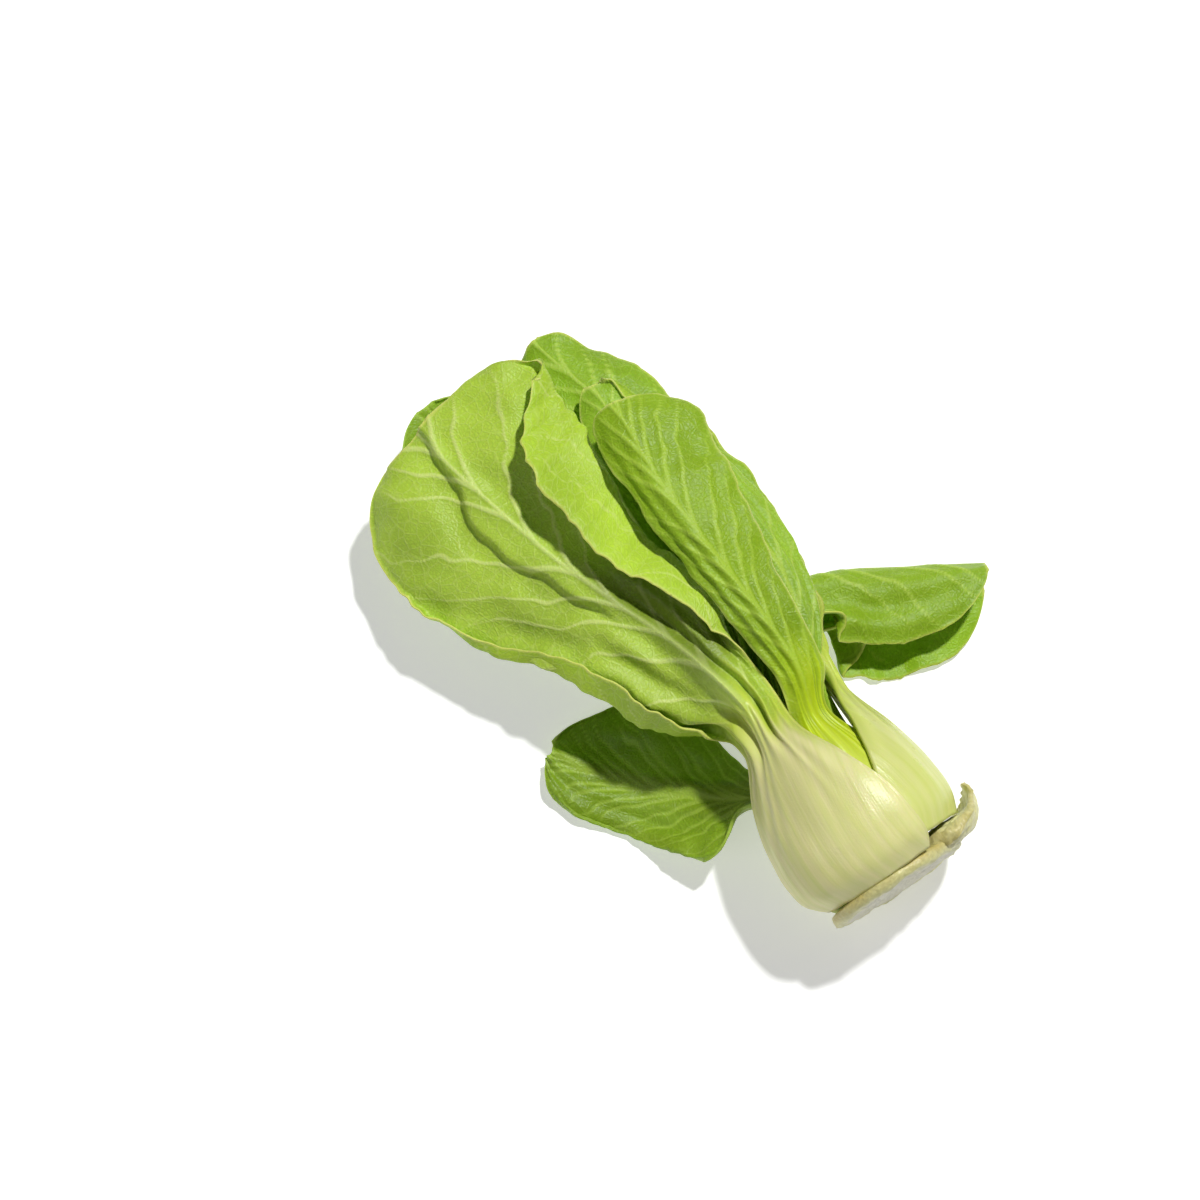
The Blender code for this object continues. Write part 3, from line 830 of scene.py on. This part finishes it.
    def vein_share(self, grid: LeafGrid) -> tuple[Array, Array]:
        """How far each point lies on a side vein, and how far from one.

        A vein leaves the midrib at a place and goes out by slope x2 / (x + bend), where x is the
        distance along from that place: it starts lengthwise and ends slanted. So each point has
        the place where a vein through it would start, and its distance to the nearest vein is the
        distance of that place to the nearest of the veins' own places, turned square to the vein.

        Args:
            grid: the leaf's middle surface.

        Returns:
            1 on a vein falling to 0 beside it, and the distance to the nearest vein.
        """
        veins = self.veins
        out = np.abs(grid.run)
        side = (grid.run > 0).astype(int)
        reached = np.sqrt(out**2 + 4 * veins.slope * veins.bend * out + 1e-6)
        start = grid.along - (out + reached) / (2 * veins.slope)
        wander = ripple(grid.along, grid.run, 34, self.seed + 5)
        wander = wander + 0.35 * ripple(grid.along, grid.run, 9, self.seed + 15)
        start = start + veins.wander * wander * smooth_step(out / 10)
        steep = (1 + (out + 2 * veins.slope * veins.bend) / reached) / (2 * veins.slope)
        shift = np.random.default_rng(self.seed + 9).uniform(-0.3, 0.3, (2, 64)) * veins.spacing
        nearest = np.full(out.shape, 1e3)
        number = np.floor((start - veins.first) / veins.spacing).astype(int)
        for step in (-1, 0, 1, 2):
            at = veins.first + (number + step) * veins.spacing + shift[side, (number + step) % 64]
            nearest = np.minimum(nearest, np.abs(start - at))
        distance = nearest / np.sqrt(1 + steep**2)
        width = veins.width * (1.25 - 0.6 * np.abs(grid.reach))
        share = np.exp(-((distance / width) ** 2)) * (1 - 0.4 * np.abs(grid.reach))
        midrib = 0.8 * np.exp(-((out / (1.3 * (1 - 0.6 * grid.along / grid.along.max()))) ** 2))
        return np.maximum(share * grid.blade, midrib * grid.blade), distance

    def rib_share(self, grid: LeafGrid) -> tuple[Array, Array]:
        """Where the stalk's ribs stand, and how far the ribs show along the leaf.

        The ribs are a cosine over the reach, whose phase and height wander slowly.

        Args:
            grid: the leaf's middle surface.

        Returns:
            1 on a rib falling to 0 between two, and the share by which ribs show.
        """
        wide, long = grid.reach * RIB_SPAN, grid.along
        phase = grid.reach * self.relief.ribs + 0.45 * ripple(wide, long * 0.2, 16, self.seed + 2)
        rib = (0.5 + 0.5 * np.cos(2 * math.pi * phase)) ** 1.2
        rib = rib * (0.65 + 0.35 * ripple(wide, long * 0.15, 9, self.seed + 12))
        return rib, rise(long, RIBS_RISE) * (1 - rise(long, RIBS_FADE))

    def heights(self, grid: LeafGrid, rib: Array, vein: Array, distance: Array) -> Array:
        """The sum of the reliefs, as a height over the middle surface towards the back.

        Args:
            grid: the leaf's middle surface.
            rib: the ribs' height share, with their share along the leaf taken into account.
            vein: 1 on a side vein falling to 0 beside it.
            distance: distance to the nearest side vein.

        Returns:
            A height in millimetres for each point.
        """
        relief, seed, long, wide = self.relief, self.seed, grid.along, grid.run
        reach, flat = np.abs(grid.reach), 1 - grid.fold
        height = relief.rib_height * rib * (1 - smooth_step(reach * 3 - 2))
        height = height + self.veins.height * vein * (1 - 0.5 * smooth_step(reach * 1.2))
        height = height - relief.pucker * (1 - np.exp(-((distance / PANEL_REACH) ** 2))) * grid.blade * flat
        crumple = ripple(long, wide, 27, seed + 3) + 0.45 * ripple(long, wide, 10, seed + 4)
        crumple = crumple * grid.blade * (0.25 + 0.75 * reach) * (1 - 0.6 * grid.fold)
        height = height + relief.crumple * crumple
        frill = ripple(long, wide * 0.2, 15, seed + 6) * reach**4
        height = height + relief.frill * frill * grid.blade * flat
        height = height + STALK_UNEVEN * ripple(long * 0.4, wide, 8, seed + 7) * (1 - grid.blade)
        into_blade = rise(long, RIDGES_RISE) * (1 - rise(long, RIDGES_FADE))
        ridges = ripple(grid.reach * RIDGE_SPAN, long * 0.14, 8, seed + 10)
        height = height + relief.ridge * ridges * into_blade * flat
        height = height + relief.plateau * plateau(grid)
        rolled = grid.fold * np.exp(-((grid.margin / LIFT_REACH) ** 2)) * (wide > 0)
        return height - relief.lift * rolled * rise(long, LIFT_RISE)

    def dress(self) -> bpy.types.Object:
        """Makes the leaf's mesh, with ribs, veins, panels and crumples, and dresses it.

        The middle surface is moved along its normals by the sum of the reliefs, so a vein stands
        out on the back and is sunk in the front. The two faces lie half the thickness from it.

        Returns:
            The finished piece, which stands for the leaf's node.
        """
        grid = self.grid()
        vein, distance = self.vein_share(grid)
        rib, on_stalk = self.rib_share(grid)
        normal = normals(grid.middle)
        middle = grid.middle + normal * self.heights(grid, (rib - 0.4) * on_stalk, vein, distance)[:, :, None]
        half = grid.thick[:, :, None] / 2
        sunk = np.maximum(half[:, :, 0] * np.abs(normal[:, :, 2]) + FLOOR_CLEARANCE - middle[:, :, 2], 0)
        middle = middle + sunk[:, :, None] * np.array((0.0, 0.0, 1.0))
        points = two_faces(middle, normal * half)

        start = self.finish.green_from - 7 * (1 - rib) - 8 * np.abs(grid.reach) ** 2
        start = start + 4 * ripple(grid.reach * GREEN_SPAN, grid.along * 0.3, 9, self.seed + 8)
        green = smooth_step((grid.along - start) / self.finish.green_length)
        # Painted shade right of the midrib, in place of the shadow that the folded flap and the leaf above
        # cast
        hollow = rise(grid.run, PAINTED_SHADE_SIDE) * (1 - grid.fold) * rise(grid.along, PAINTED_SHADE_RISE)
        hollow = self.relief.hollow * hollow * (1 - rise(grid.along, PAINTED_SHADE_FADE))
        both = np.ones(2)[:, None, None]
        shares = {
            "green": green * both,
            "back": np.array((1.0, 0.0))[:, None, None] * np.ones(green.shape),
            "vein": vein * both,
            # The margin's pale line is painted glow of light through the thin edge
            "margin": np.exp(-((grid.margin / MARGIN_LINE) ** 2)) * green * both,
            # The fold share also carries the flaps' painted glow
            "fold": grid.fold * both,
            # Painted shade: the stronger of the stalk's rib troughs and the part beside the midrib
            "painted_shade": np.maximum((1 - rib) * on_stalk * (1 - grid.blade) * RIB_SHADE, hollow) * both,
        }
        uv = np.stack([grid.run / UV_SPAN + 0.5, grid.along / UV_SPAN], -1).reshape(-1, 2)
        finish = leaf_material(f"{self.name} finish", self.finish)
        faces = closed_sheet(*green.shape)
        piece = add_piece(self.name, points, faces, finish, shares, np.concatenate([uv, uv]))
        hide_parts(self.node)
        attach(piece, BODY)
        return piece


# In each finish, margin paints the glow of light through the thin edge, and fold paints it through folded
# flaps
OUTER_FINISH = LeafFinish(
    slot="outer_leaf",
    stalk=(0.84, 0.8, 0.38),
    neck=(0.56, 0.68, 0.08),
    back=(0.42, 0.6, 0.055),
    front=(0.36, 0.56, 0.015),
    vein=(0.66, 0.78, 0.24),
    margin=(0.76, 0.78, 0.2),
    fold=(0.42, 0.62, 0.04),
    green_from=51,
    green_length=30,
)
RIGHT_FINISH = LeafFinish(
    slot="outer_leaf",
    stalk=(0.72, 0.75, 0.27),
    neck=(0.56, 0.67, 0.08),
    back=(0.25, 0.41, 0.015),
    front=(0.27, 0.45, 0.015),
    vein=(0.46, 0.63, 0.09),
    margin=(0.66, 0.72, 0.15),
    fold=(0.36, 0.55, 0.02),
    green_from=34,
    green_length=56,
)
TOP_FINISH = LeafFinish(
    slot="inner_leaf",
    stalk=(0.66, 0.74, 0.14),
    neck=(0.58, 0.73, 0.01),
    back=(0.26, 0.42, 0.012),
    front=(0.28, 0.48, 0.015),
    vein=(0.42, 0.6, 0.06),
    margin=(0.68, 0.74, 0.2),
    fold=(0.34, 0.54, 0.02),
    green_from=10,
    green_length=70,
)
INNER_FINISH = LeafFinish(
    slot="inner_leaf",
    stalk=(0.52, 0.66, 0.05),
    neck=(0.38, 0.55, 0.008),
    back=(0.29, 0.48, 0.025),
    front=(0.28, 0.47, 0.015),
    vein=(0.46, 0.63, 0.09),
    margin=(0.66, 0.72, 0.18),
    fold=(0.34, 0.53, 0.02),
    green_from=0,
    green_length=50,
)
LOWER_FINISH = LeafFinish(
    slot="lower_leaf",
    stalk=(0.6, 0.66, 0.24),
    neck=(0.38, 0.52, 0.06),
    back=(0.26, 0.38, 0.035),
    front=(0.22, 0.34, 0.015),
    vein=(0.36, 0.5, 0.06),
    margin=(0.42, 0.6, 0.08),
    fold=(0.3, 0.52, 0.02),
    green_from=22,
    green_length=30,
)
HEART_FINISH = LeafFinish(
    slot="heart_leaf",
    stalk=(0.66, 0.74, 0.3),
    neck=(0.5, 0.66, 0.1),
    back=(0.35, 0.52, 0.08),
    front=(0.32, 0.5, 0.06),
    vein=(0.5, 0.64, 0.2),
    margin=(0.6, 0.7, 0.2),
    fold=(0.35, 0.52, 0.06),
    green_from=20,
    green_length=50,
)

LEAVES = (
    Leaf(
        name="outer_left_leaf",
        node="leaf_outer_left",
        layer=OUTER,
        angle=-38,
        spread=(60, 58),
        tuck=(-4, -15),
        finish=OUTER_FINISH,
        fold=(171, 168),
        tip_length=16,
        tip_square=0.45,
        rows=(56, 130, 24),
        columns=(62, 12, 20),
        seed=11,
        relief=Relief(plateau=2.6, lift=4.5, ridge=1.4, hollow=1.0),
        veins=Veins(spacing=17, first=24),
        blade=(
            Knot((58, -9.5, 44), (0, -0.55, 0.84), (20, 8), (45, 30), flap=(3, 0)),
            Knot((72, -13, 45), (0, -0.35, 0.93), (34, 12), (38, 15), flap=(10, 3)),
            Knot((90, -19, 43.5), (0, -0.2, 0.97), (36, 30), (34, 22), (0, -14), (11, 13)),
            Knot((108, -26, 42), (0, -0.15, 1), (34, 39), (30, 28), (0, -20), (8, 20)),
            Knot((126, -32, 40), (0, -0.15, 1), (38, 49.5), (28, 28), (0, -22), (5, 24)),
            Knot((146, -37, 38.5), (0, -0.15, 1), (39, 56.5), (26, 28), (0, -22), (3, 25)),
            Knot((163, -41, 37), (0, -0.15, 1), (36, 42), (26, 26), (0, -22), (1, 6)),
            Knot((180, -44, 35), (0, -0.15, 1), (30, 38), (26, 22), (0, -20), (0, 0)),
        ),
    ),
    Leaf(
        name="outer_right_leaf",
        node="leaf_outer_right",
        layer=LAPPED,
        angle=88,
        spread=(67.4, 46),
        tuck=(12.5, 2),
        finish=RIGHT_FINISH,
        tip_length=26,
        seed=23,
        tip_square=0.9,
        blade=(
            Knot((58, 17, 34), (0, 0.95, 0.3), (4, 8), (20, 28)),
            Knot((72, 18, 34), (0, 0.6, 0.8), (8, 10), (18, 30)),
            Knot((92, 19, 34.5), (0, 0.2, 1), (14, 13), (12, 30)),
            Knot((112, 18, 34.5), (0, 0.1, 1), (20, 15), (10, 30)),
            Knot((132, 14, 34), (0, 0.05, 1), (25, 17), (12, 30)),
            Knot((152, 9, 34), (0, 0, 1), (26, 17), (20, 30)),
            Knot((170, 4, 33), (0, 0, 1), (22, 15), (40, 30)),
            Knot((187, 0, 31), (0.1, 0, 1), (17, 12), (50, 30)),
        ),
    ),
    Leaf(
        name="underneath_leaf",
        node="leaf_underneath",
        layer=OUTER,
        angle=190,
        spread=(38, 34),
        tuck=(-2, -2),
        finish=LOWER_FINISH,
        tip_length=16,
        seed=31,
        blade=(
            Knot((58, -5, 17), (0, -0.1, -1), (7, 8), (25, 25)),
            Knot((72, -8, 11), (0, -0.05, -1), (14, 14)),
            Knot((92, -13, 5.5), (0, 0, -1), (20, 20)),
            Knot((115, -20, 1.5), (0, 0, -1), (26, 26)),
            Knot((138, -26, 2), (0, 0, -1), (28, 28)),
            Knot((160, -31, 7), (0, 0, -1), (25, 25)),
            Knot((178, -34, 13), (0, 0, -1), (20, 20)),
            Knot((191, -35, 19), (0, 0, -1), (14, 14)),
        ),
    ),
    Leaf(
        name="low_left_leaf",
        node="leaf_low_left",
        layer=SECOND,
        angle=-108,
        spread=(42, 36),
        finish=LOWER_FINISH,
        last_stalk=32.0,
        tip_length=16,
        seed=41,
        veins=Veins(spacing=7, first=16),
        blade=(
            Knot((37, -18.5, 17), (-0.2, -0.45, -0.85), (7, 9), (16, 14)),
            Knot((43, -25, 10.5), (-0.2, -0.2, -0.95), (13, 21), (12, 10), flap=(0, 3)),
            Knot((51, -33, 5.5), (-0.1, -0.1, -1), (21, 23), (8, 8), flap=(0, 6)),
            Knot((61, -43, 3), (0, 0, -1), (24, 20), (8, 8), flap=(0, 6)),
            Knot((72, -52, 3), (0, 0, -1), (22, 17), (8, 8), flap=(0, 4)),
            Knot((84, -60, 5), (0, 0, -1), (16, 12), (8, 8), flap=(0, 2)),
        ),
    ),
    Leaf(
        name="low_right_leaf",
        node="leaf_low_right",
        layer=SECOND,
        angle=150,
        spread=(44, 38),
        finish=RIGHT_FINISH,
        tip_length=12,
        tip_square=0.5,
        wave=0.6,
        seed=53,
        blade=(
            Knot((60, 13.5, 16), (0.1, 0.35, -0.9), (6, 6), (20, 20)),
            Knot((70, 15.5, 12.5), (0.2, 0.2, -0.9), (8, 7), (12, 12), (20, 30)),
            Knot((79, 20.5, 11), (0.75, -0.2, -0.5), (22, 19), (10, 12), (62, 72)),
            Knot((84, 29, 11), (0.97, 0.1, -0.15), (29, 22), (8, 12), (72, 82)),
            Knot((81.5, 40, 11), (1, 0.25, 0), (33, 26), (6, 12), (78, 84)),
            Knot((75, 54, 11), (0.95, 0.4, 0.05), (36, 27), (6, 12), (80, 87)),
            Knot((67, 67, 11), (0.9, 0.45, 0.05), (31, 22), (6, 12), (80, 87)),
            Knot((60, 79, 11), (0.9, 0.45, 0.05), (22, 14), (6, 10), (78, 80)),
        ),
    ),
    Leaf(
        name="top_leaf",
        node="leaf_top",
        layer=SECOND,
        angle=16,
        spread=(50, 44),
        finish=TOP_FINISH,
        wave=0.6,
        seed=61,
        relief=Relief(pucker=0.4, crumple=0.5, frill=0.4, ridge=0.45),
        veins=Veins(spacing=11, slope=0.8, bend=30, first=20),
        tip_length=14,
        tip_square=0.6,
        blade=(
            Knot((58, 6.5, 48.5), (0, 0.2, 1), (6, 9), (25, 20)),
            Knot((72, 6.5, 53), (0, 0.1, 1), (8, 10), (25, 20), (15, 0)),
            Knot((88, 5, 57), (0, 0.05, 1), (9, 14), (25, 20), (30, 0)),
            Knot((104, 3.5, 59.5), (0, 0, 1), (9.5, 18), (25, 22), (35, 0)),
            Knot((122, 2.5, 60.5), (0, 0, 1), (10, 21), (25, 24), (35, 0)),
            Knot((138, 3.5, 59.5), (0.05, 0, 1), (11, 22), (25, 24), (30, 0)),
            Knot((150, 5, 58), (0.1, 0, 1), (11, 18), (25, 22), (25, 0)),
        ),
    ),
    Leaf(
        name="inner_right_leaf",
        node="leaf_inner_right",
        layer=INNER,
        angle=52,
        spread=(44, 46),
        finish=INNER_FINISH,
        wave=0.4,
        seed=71,
        relief=Relief(pucker=0.25, crumple=0.3, frill=0.3, ridge=0.5),
        veins=Veins(height=0.25),
        last_stalk=32.0,
        blade=(
            Knot((46, 9, 36.5), (0, 0.65, 0.76), (5, 7), (22, 24)),
            Knot((57, 10.5, 41), (0, 0.5, 0.86), (5, 6), (22, 22)),
            Knot((70, 16, 44), (0, 0.4, 0.92), (7.5, 9), (15, 28)),
            Knot((84, 19.5, 45), (0, 0.35, 0.95), (11, 11), (10, 36)),
            Knot((100, 20, 46), (0, 0.25, 1), (12, 12), (10, 38)),
            Knot((114, 19, 45.5), (0, 0.25, 1), (12, 11.5), (10, 38)),
            Knot((129, 17.5, 44), (0, 0.25, 1), (9, 9), (10, 30)),
        ),
    ),
    Leaf(
        name="inner_rolled_leaf",
        node="leaf_inner_rolled",
        layer=INNER,
        angle=-55,
        spread=(44, 34),
        finish=INNER_FINISH,
        wave=0.4,
        fold=(150, 170),
        seed=83,
        blade=(
            Knot((60, -5.5, 38.5), (0, -0.2, 1), (7, 7), (20, 20), flap=(0, 0)),
            Knot((80, -0.5, 40.5), (0, -0.1, 1), (8, 8), (15, 15), flap=(0, 0)),
            Knot((100, 2.5, 41), (0, 0, 1), (9, 9), (12, 12), flap=(0, 0)),
            Knot((122, 3.5, 40.5), (0, 0, 1), (10, 12), (10, 10), flap=(0, 2)),
            Knot((142, 5, 40.5), (0, 0, 1), (10, 16), (10, 10), flap=(0, 6)),
            Knot((163, 6, 40), (0.1, 0, 1), (9, 15), (10, 10), flap=(0, 6)),
        ),
    ),
    Leaf(
        name="inner_back_leaf",
        node="leaf_inner_back",
        layer=INNER,
        angle=178,
        spread=(46, 46),
        finish=HEART_FINISH,
        wave=0.6,
        seed=97,
        rows=(24, 40, 10),
        columns=(18, 4, 4),
        blade=(
            Knot((60, 1.5, 22.5), (0, 0, -1), (8, 8), (25, 25)),
            Knot((80, 3, 23.5), (0, 0, -1), (12, 12), (15, 15)),
            Knot((102, 4, 23.5), (0, 0, -1), (15, 15), (12, 12)),
            Knot((128, 4, 24), (0, 0, -1), (11, 11), (12, 12)),
        ),
    ),
    Leaf(
        name="heart_upper_leaf",
        node="leaf_heart_upper",
        layer=HEART,
        angle=0,
        spread=(60, 60),
        finish=HEART_FINISH,
        tip_length=8,
        wave=0.3,
        seed=101,
        rows=(24, 20, 8),
        columns=(14, 4, 4),
        blade=(
            Knot((60, 2, 35), (0, 0, 1), (4.5, 4.5), (30, 30)),
            Knot((78, 4, 36), (0, 0, 1), (4, 4), (30, 30)),
        ),
    ),
    Leaf(
        name="heart_lower_leaf",
        node="leaf_heart_lower",
        layer=HEART,
        angle=180,
        spread=(60, 60),
        finish=HEART_FINISH,
        tip_length=8,
        wave=0.3,
        seed=103,
        rows=(24, 20, 8),
        columns=(14, 4, 4),
        blade=(
            Knot((60, 1, 28), (0, 0, -1), (5, 5), (30, 30)),
            Knot((84, 2, 29.5), (0, 0, -1), (5, 5), (30, 30)),
        ),
    ),
)


@dataclass(frozen=True)
class StemBase:
    """The cut stem: a disc with the cut face and the core inside, and the foot of a removed leaf."""

    cut_along: float = -6.6
    core: tuple[Pair, ...] = (
        (-6.6, 20.2), (-5.8, 21.2), (-4.0, 21.6), (-2.9, 21.0), (-2.6, 20.0), (-3.0, 14.2),
        (2.0, 13.6), (3.4, 10.6), (6.4, 9.8), (7.8, 6.2), (15.0, 4.2), (18.0, 0.05),
    )
    stub_angle: float = 88.0
    # Along, radius, half angle in degrees and thickness
    stub: tuple[tuple[float, float, float, float], ...] = (
        (-1.3, 12.0, 52, 7.0),
        (-1.2, 21.0, 47, 7.0),
        (-0.8, 26.0, 42, 5.8),
        (1.0, 29.6, 30, 3.4),
        (4.6, 31.0, 14, 2.0),
        (8.5, 31.8, 3, 1.2),
    )
    stub_edge_share: float = 0.6
    stub_foot_rows: int = 3
    sides: int = 180
    face_rings: int = 40
    cream: Colour = (0.70, 0.68, 0.32)
    cut: Colour = (0.76, 0.74, 0.58)
    tan: Colour = (0.55, 0.44, 0.13)
    green: Colour = (0.42, 0.52, 0.08)

    def material(self) -> bpy.types.Material:
        """Moist cream flesh, paler on the cut, tan in the crease where leaves were broken off."""
        graph = Graph("stem flesh")
        cut, crease = graph.attribute("cut"), graph.attribute("crease")
        solid = graph.place(Coordinates.OBJECT)
        blotch, fibre = graph.noise(solid, 160.0, 4.0), graph.noise(solid, 900.0, 3.0)
        colour = graph.mix(cut, self.cream, self.cut)
        stained = graph.math("MULTIPLY", crease, graph.ranged(blotch, 0.35, 0.6, 0.35, 1.0))
        colour = graph.mix(stained, colour, self.tan)
        colour = graph.mix(graph.ranged(blotch, 0.58, 0.75, 0.0, 0.45), colour, self.green)
        colour = graph.brightened(colour, graph.ranged(fibre, 0.3, 0.7, 0.88, 1.1))
        graph.link(colour, graph.shader.inputs["Base Color"])
        graph.link(graph.ranged(cut, 0.0, 1.0, 0.35, 0.6), graph.shader.inputs["Roughness"])
        graph.link(graph.bump(fibre, 0.0008, 0.5), graph.shader.inputs["Normal"])
        graph.shader.inputs["Subsurface Weight"].default_value = 0.15
        graph.shader.inputs["Subsurface Radius"].default_value = (1.0, 0.9, 0.5)
        graph.shader.inputs["Subsurface Scale"].default_value = 0.003
        return graph.material

    def disc(self, material: bpy.types.Material) -> bpy.types.Object:
        """The disc and core: a profile turned round the axis, made uneven, with a rough cut face.

        Args:
            material: the stem's finish.

        Returns:
            The piece.
        """
        inner = np.linspace(0.02, 1, self.face_rings)[:, None] * (0, self.core[0][1]) + (self.cut_along, 0)
        profile = np.concatenate([inner, self.core[1:]])
        turn = np.linspace(0, 2 * math.pi, self.sides, endpoint=False)
        along, radius = profile[:, :1], profile[:, 1:]
        x, y = radius * np.sin(turn), radius * np.cos(turn)
        on_face = np.arange(len(profile))[:, None] < self.face_rings
        lumps = 0.25 * ripple(x, y, 9, 5) + 0.12 * ripple(x, y, 2.6, 6)
        along = along + np.where(on_face, 0.35 + lumps * 0.8, 0)
        rim = np.exp(-(((profile[:, :1] + 4.6) / 1.6) ** 2))
        swell = 1 + rim * 0.015 * ripple(turn[None] * 20 + along * 0, along * 3, 14, 7)
        up = AXIS_UP + along * AXIS_RISE
        points = np.stack([along + y * 0, x * swell, up + y * swell], -1)
        rows = len(profile)
        index = np.arange(rows * self.sides).reshape(rows, self.sides)
        after = np.roll(index, -1, axis=1)
        faces = np.stack([index[:-1], after[:-1], after[1:], index[1:]], -1).reshape(-1, 4)
        step = np.arange(2, self.sides - 2, 2)
        caps = [
            np.stack([ring[0] + 0 * step, ring[step + 2 - self.sides], ring[step + 1], ring[step]], -1)
            for ring in (index[0], index[-1, ::-1])
        ]
        faces = np.concatenate([faces, *caps])
        shares = {
            "cut": on_face * (1 - smooth_step(radius / self.core[0][1] * 6 - 5)) + 0 * x,
            "crease": np.exp(-(((profile[:, :1] + 3.4) / 1.3) ** 2)) + 0 * x,
        }
        return add_piece("stem_disc", points.reshape(-1, 3), faces, material, shares)

    def stub_knots(self) -> list[list[float]]:
        """Knot rows of the removed leaf's foot, which hugs the bulb as an arc up to its point."""
        rows = []
        for along, radius, spread, thick in self.stub:
            at = axis_point(along) + radius * radial(self.stub_angle)
            wide = math.radians(spread) * radius
            shape = (wide, wide, spread, spread, 0, 0, 0, 0)
            rows.append([*at, *radial(self.stub_angle), *shape, thick, thick * self.stub_edge_share, wide])
        return rows

    def foot(self, material: bpy.types.Material) -> bpy.types.Object:
        """The foot of a removed leaf: a short sheet whose torn edge rises to a thin point.

        Args:
            material: the stem's finish.

        Returns:
            The piece.
        """
        shape = Leaf(
            name="foot",
            node="stem_base",
            layer=OUTER,
            angle=self.stub_angle,
            spread=(38, 38),
            blade=(),
            finish=HEART_FINISH,
            wave=0,
            tip_length=2,
            rows=(40, 50, 6),
            columns=(60, 1, 1),
        )
        grid = shape.laid_out(np.array(self.stub_knots()), self.stub_foot_rows)
        torn = 0.25 * ripple(grid.run, grid.along, 3.2, 8) + 0.3 * ripple(grid.run, grid.along, 9, 9)
        normal = normals(grid.middle)
        middle = grid.middle + normal * (torn * (0.3 + 0.7 * np.abs(grid.reach)))[:, :, None]
        half = grid.thick[:, :, None] / 2
        points = two_faces(middle, normal * half)
        edge = np.exp(-((grid.margin / 1.2) ** 2)) * np.ones(2)[:, None, None]
        shares = {"cut": edge * 0, "crease": edge * 0.6}
        return add_piece("stem_foot", points, closed_sheet(*grid.reach.shape), material, shares)

    def dress(self) -> list[bpy.types.Object]:
        """Makes the disc and the foot, which together stand for the stem base."""
        material = self.material()
        pieces = [self.disc(material), self.foot(material)]
        for piece in pieces:
            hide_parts("stem_base")
            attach(piece, BODY)
        return pieces


@dataclass(frozen=True)
class Studio:
    """Camera, lights and floor."""

    azimuth: float = -123.0
    elevation: float = 75.0
    distance: float = 0.75
    span: float = 0.348
    centre: Triple = (110.0, -25.5, 28.0)
    floor_colour: Colour = (0.86, 0.86, 0.85)

    def direction(self) -> Vector:
        """From the head towards the camera."""
        turn, climb = math.radians(self.azimuth), math.radians(self.elevation)
        return Vector((math.sin(turn) * math.cos(climb), -math.cos(turn) * math.cos(climb), math.sin(climb)))

    def add_camera(self) -> None:
        """A camera at the photograph's angle, which frames the head as it does."""
        data = bpy.data.cameras.new("camera")
        camera = bpy.data.objects.new("camera", data)
        bpy.context.scene.collection.objects.link(camera)
        centre = Vector(to_world(np.array(self.centre)).tolist())
        camera.location = centre + self.direction() * self.distance
        camera.rotation_euler = (-self.direction()).to_track_quat("-Z", "Y").to_euler()
        data.sensor_width = 36.0
        data.lens = data.sensor_width * self.distance / self.span
        data.clip_end = 20.0
        bpy.context.scene.camera = camera

    def add_light(self, name: str, offset: Triple, power: float, size: float) -> None:
        """A square lamp, placed in the picture's right, up and towards the camera, in metres.

        Args:
            name: the lamp's name.
            offset: its place from the head's centre, in those directions.
            power: its power in watts.
            size: its side in metres.
        """
        turn = math.radians(self.azimuth)
        right, up = Vector((math.cos(turn), math.sin(turn), 0)), Vector((-math.sin(turn), math.cos(turn), 0))
        centre = Vector(to_world(np.array(self.centre)).tolist())
        place = centre + right * offset[0] + up * offset[1] + Vector((0, 0, 1)) * offset[2]
        data = bpy.data.lights.new(name, "AREA")
        data.energy, data.size = power, size
        light = bpy.data.objects.new(name, data)
        light.location = place
        light.rotation_euler = (place - centre).to_track_quat("Z", "Y").to_euler()
        bpy.context.scene.collection.objects.link(light)

    def build(self) -> None:
        """Adds the camera, a key light from the right, a soft fill, a white room and the floor."""
        self.add_camera()
        self.add_light("key light", (0.36, 0.44, 1.25), 17.0, 0.07)
        self.add_light("fill light", (-0.6, -0.5, 0.8), 1.6, 0.6)
        world = bpy.data.worlds.new("white room")
        world.use_nodes = True
        world.node_tree.nodes["Background"].inputs["Color"].default_value = (1.0, 1.0, 1.0, 1.0)
        world.node_tree.nodes["Background"].inputs["Strength"].default_value = 0.07
        bpy.context.scene.world = world
        bpy.context.scene.view_settings.view_transform = "Standard"
        bpy.ops.mesh.primitive_plane_add(size=4.0, location=(0, 0, -0.0003))
        floor = bpy.context.object
        floor.name = "floor"
        graph = Graph("pale floor")
        graph.link(self.floor_colour, graph.shader.inputs["Base Color"])
        graph.shader.inputs["Roughness"].default_value = 0.8
        graph.shader.inputs["Emission Color"].default_value = (1.0, 1.0, 1.0, 1.0)
        graph.shader.inputs["Emission Strength"].default_value = 0.42
        floor.data.materials.append(graph.material)


def main() -> None:
    """Builds the studio, the leaves and the stem base in order."""
    logging.basicConfig(level=logging.INFO, format="%(name)s: %(message)s")
    Studio().build()
    for leaf in LEAVES:
        piece = leaf.dress()
        log.info("%s: %d faces", piece.name, len(piece.data.polygons))
    for piece in StemBase().dress():
        log.info("%s: %d faces", piece.name, len(piece.data.polygons))


if __name__ == "__main__":
    main()
